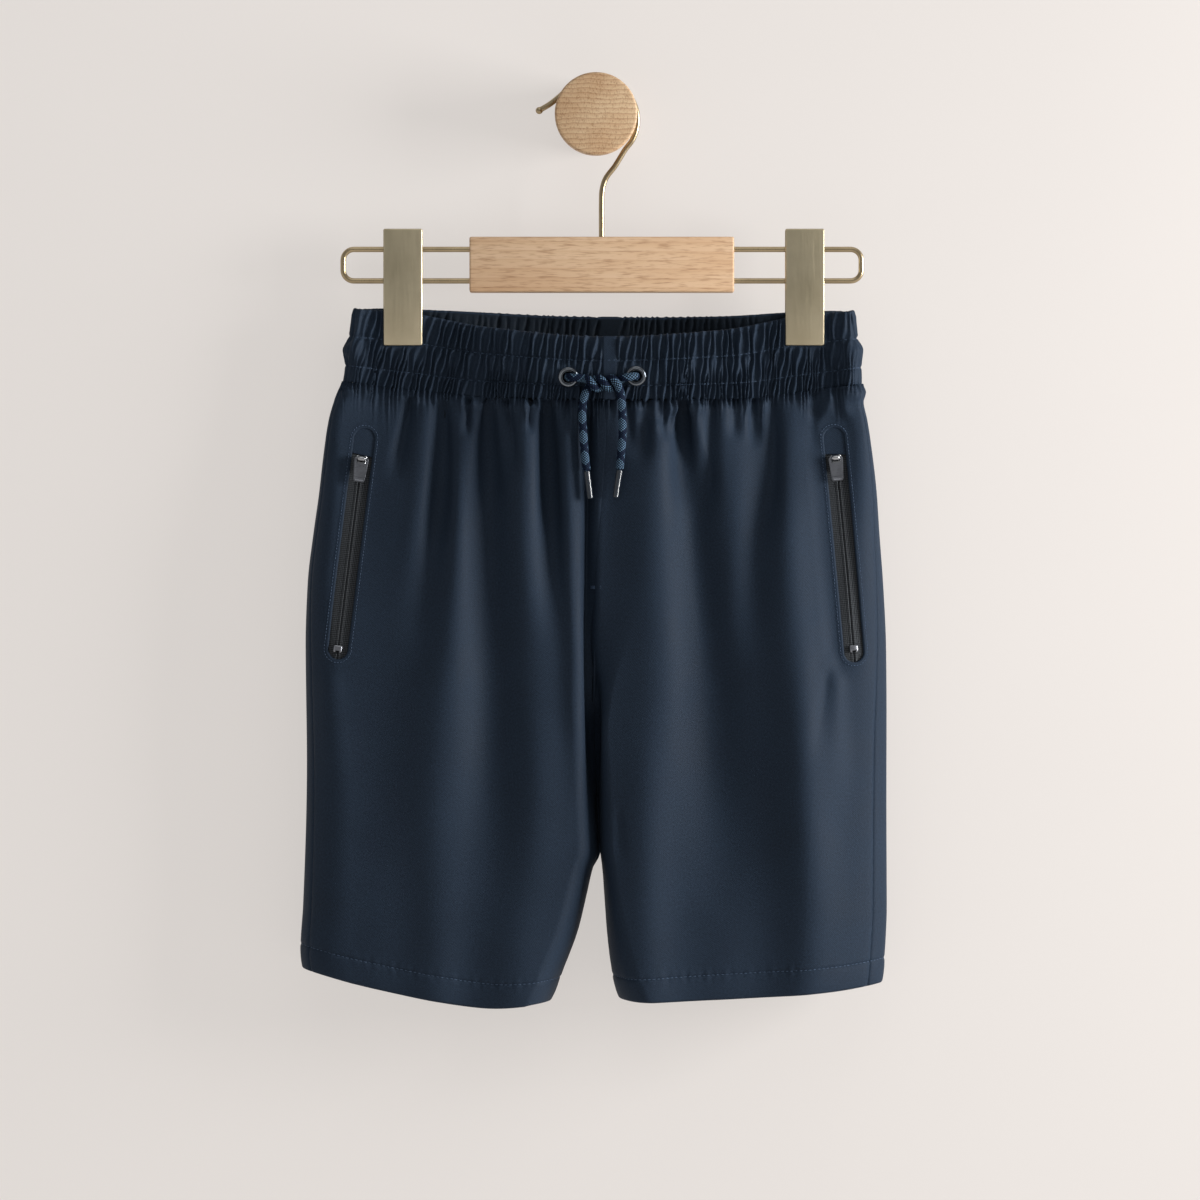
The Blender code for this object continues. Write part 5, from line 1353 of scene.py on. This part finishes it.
def surface_of(grid):
    """A grid of points as a surface that can be looked up from the front."""
    rows, columns = grid.shape[:2]
    numbers = np.arange(rows * columns).reshape(rows, columns)
    return BVHTree.FromPolygons(grid.reshape(-1, 3).tolist(), cells(numbers).tolist())


def on_surface(surface, x, z):
    """The point of a surface that shows from the front at a place."""
    return surface.ray_cast(Vector((x, LOOK_FROM_Y, z)), Vector((0.0, 1.0, 0.0)))[0]


def slot_place(leg, down_by, across_by, out_by=0.0):
    """A point on the panel by its place along and across the slot, moved out of the cloth."""
    top, down, across, _ = slot_axes(leg)
    reach = 2.0
    around = []
    for d, a in ((0, 0), (reach, 0), (-reach, 0), (0, reach), (0, -reach)):
        x, z = top + down * (down_by + d) + across * (across_by + a)
        around.append(on_surface(panel_surface[leg], x, z))
    here, below, above, beside, before = around
    normal = (below - above).cross(beside - before).normalized()
    if normal.y > 0:
        normal.negate()
    return here + normal * out_by


def slot_outline(long, offset, spacing):
    """Places (down, across) round the slot's outline, moved out by an offset."""
    half = SLOT_HALF + offset
    straight = np.linspace(SLOT_HALF, long - SLOT_HALF,
                           round((long - 2 * SLOT_HALF) / spacing), endpoint=False)
    bend = np.linspace(0, pi, round(pi * half / spacing), endpoint=False)
    right_side = [(d, half) for d in straight]
    foot = [(long - SLOT_HALF + half * np.sin(a), half * np.cos(a)) for a in bend]
    left_side = [(long - d, -half) for d in straight]
    head = [(SLOT_HALF - half * np.sin(a), -half * np.cos(a)) for a in bend]
    return right_side + foot + left_side + head


def closed_ring(name, rows, material):
    """A ring-shaped solid from a closed round of closed sections, mapped in metres."""
    rings = np.array(rows)
    count, sides = rings.shape[:2]
    number = np.arange(count * sides).reshape(count, sides)
    after = np.roll(number, -1, axis=0)
    faces = np.stack((number, np.roll(number, -1, axis=1), np.roll(after, -1, axis=1), after),
                     axis=-1).reshape(-1, 4)
    length = np.linalg.norm(np.roll(rings, -1, axis=0) - rings, axis=-1).mean(axis=1)
    girth = np.linalg.norm(np.roll(rings, -1, axis=1) - rings, axis=-1).mean(axis=0)
    walked = np.concatenate(([0.0], np.cumsum(length))) * MM
    turned = np.concatenate(([0.0], np.cumsum(girth))) * MM
    corners = [((walked[i], turned[j]), (walked[i], turned[j + 1]),
                (walked[i + 1], turned[j + 1]), (walked[i + 1], turned[j]))
               for i in range(count) for j in range(sides)]
    return add_mesh(name, rings.reshape(-1, 3), faces.tolist(), corners, material)


def cut_slot(leg):
    """Cuts the pocket slot out of the leg's front panel."""
    top, down, _, long = slot_axes(leg)
    angle = np.arctan2(-down[0], -down[1])
    middle = top + down * long / 2
    cutter = primitive("cylinder", "slot_cutter", vertices=48, depth=26 * MM,
                       radius=(SLOT_HALF + CUT_WIDER) * MM, rotation=(radians(90), 0, 0))
    bpy.ops.object.transform_apply(rotation=True)
    choose(cutter, lambda edge: min(vert.co.z for vert in edge.verts) > NEAR, 'EDGE')
    stretch = (long - 2 * SLOT_HALF) / 2
    bpy.ops.transform.translate(value=(0, 0, 2 * stretch * MM))
    bpy.ops.object.mode_set(mode='OBJECT')
    cutter.rotation_euler = (0, angle, 0)
    centre = Vector((middle[0], CUT_Y, middle[1]))
    lower = down * stretch
    cutter.location = (centre + Vector((lower[0], 0, lower[1]))) * MM
    cut_away(panels[FRONT, leg], [cutter])


def turn_edge_in(leg):
    """The cloth that is turned in all round the slot."""
    long = slot_axes(leg)[3]
    rows = []
    for down_by, across_by in slot_outline(long, 0.0, 1.0):
        on_axis = np.clip(down_by, SLOT_HALF, long - SLOT_HALF)
        way = np.array((down_by - on_axis, across_by)) / SLOT_HALF
        rows.append([slot_place(leg, *(np.array((down_by, across_by)) + way * outside), height)
                     for outside, height in TURNED_EDGE])
    belongs(closed_ring("slot_edge_" + leg, rows, navy), "garment", "leg_cloth")


def make_flap(leg):
    """The short flap that hides the top end of the zip."""
    reach_down = np.linspace(0.2, GARAGE_LONG, 29)
    sides = np.linspace(-1.0, 1.0, 25)
    flap, flap_back = [], []
    for down_by in reach_down:
        rise = np.clip(SLOT_HALF - down_by, 0.0, SLOT_HALF)
        half = np.sqrt(SLOT_HALF ** 2 - rise ** 2) + FLAP_SIDE
        slant = 0.10 * (down_by / GARAGE_LONG) ** 6
        flap.append([slot_place(leg, down_by + slant * side * half, side * half,
                                -FLAP_BEHIND - FLAP_BOW * side * side) for side in sides])
        flap_back.append([slot_place(leg, down_by + slant * side * half, side * half, -FLAP_BACK)
                          for side in sides])
    garage = cloth_shell("zip_flap_" + leg, np.array(flap), np.array(flap_back),
                         (0.1, 0.1, 0.35, 0.1), True, (navy, navy_inside_with_painted_shade))
    belongs(garage, "garment", "leg_cloth", "zip_garage_" + leg)


panel_surface = {leg: surface_of(panel_points[FRONT, leg]) for leg in (RIGHT, LEFT)}
for leg in (RIGHT, LEFT):
    cut_slot(leg)
    turn_edge_in(leg)
    make_flap(leg)

# ---------------------------------------------------------------- zips
# Reverse coil zips: two woven tapes that meet over a hidden nylon coil, a nickel-plated
# slider with a bridge, and a cast pull tab that swings on it. A bent metal staple stops the
# slider at the foot. The badge on the pull tabs is left out, so they are bare.
TAPE_HALF = 8.4
TAPE_BEHIND = 1.65
TAPE_THICK = 1.1
TAPE_RIB, TAPE_WEFT = 0.92, 1.05   # between its ribs, and between the crossings along them
COIL_HALF = 1.75
SLIDER_WIDE, SLIDER_LONG = 7.4, 9.0
SLIDER_BASE, SLIDER_TOP = -1.2, 1.3
AXIS_Y, AXIS_Z = 2.3, 2.5          # the tab's pin, from the slider's middle
PIN_R = 0.6
SLIDER_EDGE, NOTCH_R = 0.75, 1.5
TAB_CORNER, TAB_RIM = 1.3, 0.75    # the rounding of its corners, and the rim round its faces
TAB_WIDE_TOP, TAB_WIDE_END = 8.2, 6.2
TAB_LONG, TAB_THICK = 13.2, 1.3
TAB_WINDOW, WINDOW_HALF = 2.7, 2.55    # how far it reaches below the pin, and its half width
BRIDGE_HALF = 2.2                  # half the width of the slider's bridge
BRIDGE_R, BRIDGE_THIN_R, BRIDGE_TALL = 1.45, 0.42, 1.75
STOP_AT = 124.0                    # from the slot's top


def tape_weave():
    """Woven polyester zip tape: close ribs along it, with a dot at each crossing of the weft.

    It is matt, and its colour is painted as shade, darker in the grooves between the ribs.
    """
    material, tree, shader = new_material("charcoal woven zip tape", Roughness=0.78,
                                          Specular_IOR_Level=0.1)
    spot = add_node(tree, "SeparateXYZ", {"Vector": add_node(tree, "UVMap").outputs["UV"]})
    waves = []
    for axis, pitch in (("X", TAPE_RIB), ("Y", TAPE_WEFT)):
        turned = maths(tree, 'MULTIPLY', spot.outputs[axis], 2 * pi / (pitch * MM))
        waves.append(maths(tree, 'COSINE', turned))
    height = add_node(tree, "MapRange", {"Value": maths(tree, 'ADD', *waves), "From Min": -2.0,
                                         "From Max": 2.0})
    # Painted shade: the colour darkens where the ribs and the weft crossings sink.
    tone = ramp(tree, height.outputs[0], (0.20, "#16181B"), (0.90, "#42464A"))
    tree.links.new(tone, shader.inputs["Base Color"])
    bump(tree, shader, height.outputs[0], 0.6, 0.18)
    return material


def axes_at(across, up, out, place):
    """The transform that lays a piece's own axes along three directions, at a place."""
    turn = Matrix((across, up, out)).transposed().to_4x4()
    turn.translation = place
    return turn


def put(piece, place):
    """Sets a piece that was made in a zip's own axes at its place."""
    pick(piece)
    bpy.ops.object.transform_apply(location=True, rotation=True, scale=True)
    piece.matrix_world = place


def join(*pieces):
    """Joins some pieces into the first."""
    pick(*pieces)
    bpy.ops.object.join()
    return pieces[0]


def make_slider(leg, place):
    """A cast slider with its bridge, narrower at the foot and notched at the top."""
    body = block("slider_" + leg, (-SLIDER_WIDE / 2, -SLIDER_LONG / 2, SLIDER_BASE),
                 (SLIDER_WIDE / 2, SLIDER_LONG / 2, SLIDER_TOP), 0)
    for height, share in ((SLIDER_LONG / 2, 0.86), (-SLIDER_LONG / 2, 0.62)):
        choose(body, lambda face: abs(face.calc_center_median().y - height * MM) < NEAR)
        bpy.ops.transform.resize(value=(share, 1, 1))
    choose(body, lambda edge: True, 'EDGE')
    bpy.ops.mesh.bevel(offset=SLIDER_EDGE * MM, segments=4, affect='EDGES')
    bpy.ops.object.mode_set(mode='OBJECT')
    notch = primitive("cylinder", "notch", vertices=32, radius=NOTCH_R * MM, depth=8 * MM,
                      location=(0, (SLIDER_LONG / 2 + 0.7) * MM, 0))
    cut_away(body, [notch])
    bridge = primitive("torus", "bridge", major_segments=40, minor_segments=16,
                       major_radius=BRIDGE_R * MM, minor_radius=BRIDGE_THIN_R * MM,
                       rotation=(0, radians(90), 0),
                       location=(0, AXIS_Y * MM, (SLIDER_TOP + 0.15) * MM))
    bpy.ops.object.transform_apply(rotation=True, location=False)
    bridge.scale = (BRIDGE_HALF / BRIDGE_THIN_R, 1.0, BRIDGE_TALL)
    bpy.ops.object.transform_apply(scale=True, location=True)
    slider = join(body, bridge)
    put(slider, place)
    done(slider, nickel, "garment", "zip_metal", "zip_slider_" + leg, smooth=35.0)


def make_tab(leg, place):
    """A tapered tab with sunk faces, a window for the bridge and a pin across its top."""
    plate = block("tab_" + leg, (-TAB_WIDE_TOP / 2, -TAB_LONG, -TAB_THICK / 2),
                  (TAB_WIDE_TOP / 2, 0.55, TAB_THICK / 2), 0)
    choose(plate, lambda face: abs(face.calc_center_median().y + TAB_LONG * MM) < NEAR)
    bpy.ops.transform.resize(value=(TAB_WIDE_END / TAB_WIDE_TOP, 1, 1))
    choose(plate, lambda edge: not level(edge), 'EDGE')
    bpy.ops.mesh.bevel(offset=TAB_CORNER * MM, segments=5, affect='EDGES')
    for outward in (1, -1):
        choose(plate, lambda face: face.normal.z * outward > 0.9)
        bpy.ops.mesh.inset(thickness=TAB_RIM * MM)
        bpy.ops.mesh.inset(thickness=0.2 * MM, depth=-0.08 * MM)
    choose(plate, lambda edge: abs(abs(edge.verts[0].co.z) - TAB_THICK / 2 * MM) < NEAR
           and level(edge) and any(abs(face.normal.z) < 0.3 for face in edge.link_faces), 'EDGE')
    bpy.ops.mesh.bevel(offset=0.12 * MM, segments=2, affect='EDGES')
    bpy.ops.object.mode_set(mode='OBJECT')
    window = block("window", (-WINDOW_HALF, -TAB_WINDOW, -3.0),
                   (WINDOW_HALF, PIN_R + 1.0, 3.0), 0.4)
    line = block("line", (-TAB_WIDE_TOP, -TAB_LONG + 2.35, TAB_THICK / 2 - 0.38),
                 (TAB_WIDE_TOP, -TAB_LONG + 2.7, 1.0), 0)
    cut_away(plate, [window, line])
    rod = primitive("cylinder", "rod", vertices=24, radius=PIN_R * MM,
                    depth=(TAB_WIDE_TOP - 1.4) * MM, rotation=(0, radians(90), 0))
    choose(rod, level, 'EDGE')
    bpy.ops.mesh.bevel(offset=0.15 * MM, segments=2, affect='EDGES')
    bpy.ops.object.mode_set(mode='OBJECT')
    bpy.ops.object.transform_apply(rotation=True)
    tab = join(plate, rod)
    put(tab, place)
    done(tab, tab_metal, "tab_" + leg, "pull_tab", "pull_tab_" + leg, smooth=35.0)


def make_stop(leg):
    """The bent staple at the foot of the coil."""
    here, above, below = (slot_place(leg, STOP_AT + step, 0.0) for step in (0.0, -3.0, 3.0))
    beside, before = (slot_place(leg, STOP_AT, step) for step in (3.0, -3.0))
    stop_up = (above - below).normalized()
    stop_out = (beside - before).cross(stop_up).normalized()
    stop_place = axes_at(stop_up.cross(stop_out), stop_up, stop_out, here * MM)
    staple = block("stop_" + leg, (-2.4, -2.0, SLIDER_BASE), (2.4, 2.0, 0.4), 0.7)
    slit = block("slit", (-1.2, -3.0, -2.0), (1.2, -1.0, 2.0), 0.3)
    cut_away(staple, [slit])
    put(staple, stop_place)
    done(staple, tab_metal, "garment", "zip_metal", "zip_stop_" + leg, smooth=35.0)


tape_cloth = tape_weave()
nickel = metal("nickel-plated zinc", "#B9BBBE", "#9A9DA1", 0.24, 'X', 0.3)
tab_metal = metal("satin cast zinc", "#8D9097", "#73767D", 0.30, 'X', 0.35)
for leg in (RIGHT, LEFT):
    long = slot_axes(leg)[3]
    spots_down = np.linspace(-3.0, long + 3.0, 121)
    spots_across = np.linspace(-TAPE_HALF, TAPE_HALF, 91)
    knots = np.linspace(-TAPE_HALF, TAPE_HALF, 9)
    front, back = [], []
    for down_by in spots_down:
        held = np.array([slot_place(leg, down_by, a) for a in knots])
        line = read_along(held, knots, spots_across)
        normal = np.array(slot_place(leg, down_by, 0.0, 1.0)) - held[len(knots) // 2]
        ribs = 0.16 * np.abs(np.cos(pi * spots_across / TAPE_RIB))
        coil = 0.34 * np.clip(1 - (abs(spots_across) - COIL_HALF / 2 - 0.15) ** 2
                              / (COIL_HALF / 2) ** 2, 0, 1)
        split = -0.7 * np.exp(-(spots_across / 0.22) ** 2)
        rise = ribs + coil + split - TAPE_BEHIND
        front.append(line + normal * rise[:, None])
        back.append(line - normal * (TAPE_BEHIND + TAPE_THICK))
    tape = cloth_shell("tape_" + leg, np.array(front), np.array(back), (0.1, 0.1, 0.1, 0.1),
                       True, (tape_cloth, tape_cloth))
    belongs(tape, "garment", "zip_tape", "zip_tape_" + leg)

    joint = next(each for each in frame["joints"] if each["name"] == "tab_%s_swing" % leg)
    pin, axis = Vector(joint["pos_m"]), Vector(joint["axis"])
    if axis.x < 0:
        axis.negate()
    node = frame["nodes"]["pull_tab_" + leg]
    centre = sum((vert.co for vert in node.data.vertices), Vector()) / len(node.data.vertices)
    up = pin - centre
    up = (up - axis * up.dot(axis)).normalized()
    out = axis.cross(up)
    pin_place = axes_at(axis, up, out, pin)
    slider_place = axes_at(axis, up, out, pin - (up * AXIS_Y + out * AXIS_Z) * MM)

    make_slider(leg, slider_place)
    make_tab(leg, pin_place)
    make_stop(leg)

# ---------------------------------------------------------------- eyelets
# Pressed steel eyelets in dark gunmetal plating: a rolled rim on the cloth and a thin barrel
# through it. The drawcord comes out of them.
EYELET_R, EYELET_HOLE_R = 5.6, 3.35
EYELET_SEAT = 0.75                 # how far the rim's middle stands off the cloth
BARREL_R, BARREL_LONG, BARREL_WALL = EYELET_HOLE_R + 0.6, 2.6, 0.5
RIM_MINOR = (EYELET_R - EYELET_HOLE_R - 0.1) / 2
gunmetal = metal("dark gunmetal plating", "#7E858D", "#5B6168", 0.22, 'Z', 0.25)
for side, (x, z) in EYELET_AT.items():
    top_z, foot_z = along(BAND_TOP, "x", FRONT, x), along(WAIST_SEAM, "x", FRONT, x)
    v = (z - top_z) / (foot_z - top_z)
    tries = np.linspace(1.0, 2.0, 1001)
    u = np.interp(x, band_place(FRONT, tries, v)[0][:, 0], tries)
    seat = band_place(FRONT, u, v)[0]
    normal = normals_of(lambda u, v: band_place(FRONT, u, v)[0], u, v, -1)
    rim = primitive("torus", "eyelet_rim", major_segments=64, minor_segments=20,
                    major_radius=(EYELET_R - RIM_MINOR) * MM, minor_radius=RIM_MINOR * MM,
                    location=(0, 0, EYELET_SEAT * MM))
    rim.scale = (1.0, 1.0, 0.9)
    bpy.ops.object.transform_apply(scale=True, location=True)
    barrel = primitive("cylinder", "barrel", vertices=64, radius=BARREL_R * MM,
                       depth=BARREL_LONG * MM, end_fill_type='NOTHING',
                       location=(0, 0, -0.1 * MM))
    choose(barrel, lambda face: True)
    bpy.ops.mesh.solidify(thickness=BARREL_WALL * MM)
    bpy.ops.object.mode_set(mode='OBJECT')
    bpy.ops.object.transform_apply(location=True)
    eyelet = join(rim, barrel)
    eyelet.name = "eyelet_ring_" + side
    turn = Vector(normal).to_track_quat('Z', 'Y').to_matrix().to_4x4()
    eyelet.matrix_world = Matrix.Translation(Vector(seat) * MM) @ turn
    done(eyelet, gunmetal, "garment", "eyelet", "eyelet_" + side, smooth=35.0)

# ---------------------------------------------------------------- stitching
# Navy core-spun polyester thread, a little lighter than the cloth. Each stitch is a short
# arched length of thread whose ends go down into the cloth.
THREAD_D = 0.42
thread, tree, shader = new_material("navy core-spun thread", Roughness=0.6,
                                    Specular_IOR_Level=0.2)
twist = noise(tree, add_node(tree, "TexCoord").outputs["Object"], 1400.0, 2.0)
tone = ramp(tree, twist, (0.35, "#303E52"), (0.65, "#44566D"))
tree.links.new(tone, shader.inputs["Base Color"])
bump(tree, shader, twist, 0.4, 0.05)

model = primitive("uv_sphere", "stitch_model", segments=8, ring_count=6,
                  rotation=(0, radians(90), 0))
bpy.ops.object.transform_apply(rotation=True)
STITCH_POINTS = np.array([vert.co for vert in model.data.vertices])
STITCH_FACES = [tuple(face.vertices) for face in model.data.polygons]
bpy.data.objects.remove(model)


def sew(name, seam, pitch, long, slot, height=0.10):
    """A row of stitches along a seam, given as places and normals close together on it."""
    places, normals = (np.array(each, float) for each in zip(*seam))
    walked = walked_along(places)
    middles = np.arange(pitch / 2, walked[-1], pitch)
    start = read_along(places, walked, middles - long / 2)
    end = read_along(places, walked, middles + long / 2)
    way, spot = unit(end - start), (end + start) / 2
    out = read_along(normals, walked, middles)
    out = unit(out - way * np.sum(out * way, axis=1)[:, None])
    beside = np.cross(out, way)
    shape = STITCH_POINTS * (long / 2, THREAD_D / 2, THREAD_D / 2)
    shape[:, 2] += height - 0.16 * STITCH_POINTS[:, 0] ** 4
    points = (spot[:, None] + way[:, None] * shape[None, :, :1]
              + beside[:, None] * shape[None, :, 1:2] + out[:, None] * shape[None, :, 2:])
    count = len(STITCH_POINTS)
    faces = [tuple(i + stitch * count for i in face)
             for stitch in range(len(middles)) for face in STITCH_FACES]
    row = add_mesh(name, points.reshape(-1, 3), faces, None, thread)
    belongs(row, "garment", slot)


def line_over(grid, heights, wanted, outward):
    """A line across a grid of points, where a height that each point has is the wanted one."""
    places, normals = [], []
    rows = range(grid.shape[0])
    for column in range(grid.shape[1]):
        levels, at = heights[:, column], wanted
        if levels[0] > levels[-1]:
            levels, at = -levels, -wanted
        row = np.interp(at, levels, rows)
        low = min(int(row), grid.shape[0] - 2)
        places.append(blend(grid[low, column], grid[low + 1, column], row - low))
        before, after = max(column - 3, 0), min(column + 3, grid.shape[1] - 1)
        across = grid[low, after] - grid[low, before]
        normals.append(unit(np.cross(across, grid[low + 1, column] - grid[low, column])) * outward)
    return list(zip(places, normals))


for leg in (RIGHT, LEFT):
    long = slot_axes(leg)[3]
    seam = []
    outline = slot_outline(long, 1.75, 0.6)
    for down_by, across_by in outline + outline[:1]:
        low, high = (slot_place(leg, down_by, across_by, height) for height in (0.1, 1.1))
        seam.append((low, high - low))
    sew("slot_stitches_" + leg, seam, 1.8, 1.3, "leg_cloth")
for (face, leg), grid in panel_points.items():
    seam = line_over(grid, panel_above_hem[face, leg], HEM_DEEP, INWARD[leg] * OUT[face])
    sew("hem_stitches_%s_%s" % (face, leg), seam, 2.6, 1.8, "leg_cloth")
for face, grid in band_points.items():
    heights = np.broadcast_to(BAND_ROWS_V[:, None], grid.shape[:2])
    for number, wanted in enumerate(BAND_LINES):
        seam = line_over(grid, heights, wanted, OUT[face])
        sew("band_stitches_%s_%d" % (face, number), seam, 2.7, 1.9, "band_cloth", 0.0)

# A short close bar tack holds the centre seam of the front.
TACK_AT, TACK_WIDE, TACK_TALL = (0.0, -264.0), 4.4, 1.6
seam = []
for turn in range(9):
    for end in (-1, 1) if turn % 2 else (1, -1):
        x = TACK_AT[0] + end * TACK_WIDE / 2
        z = TACK_AT[1] + TACK_TALL * (turn / 8 - 0.5)
        leg = RIGHT if x < 0 else LEFT
        near = x + (-0.8 if x < 0 else 0.8)
        seam.append((on_surface(panel_surface[leg], near, z), Vector((0, -1, 0))))
sew("bar_tack", seam, 4.5, 4.3, "leg_cloth", 0.35)
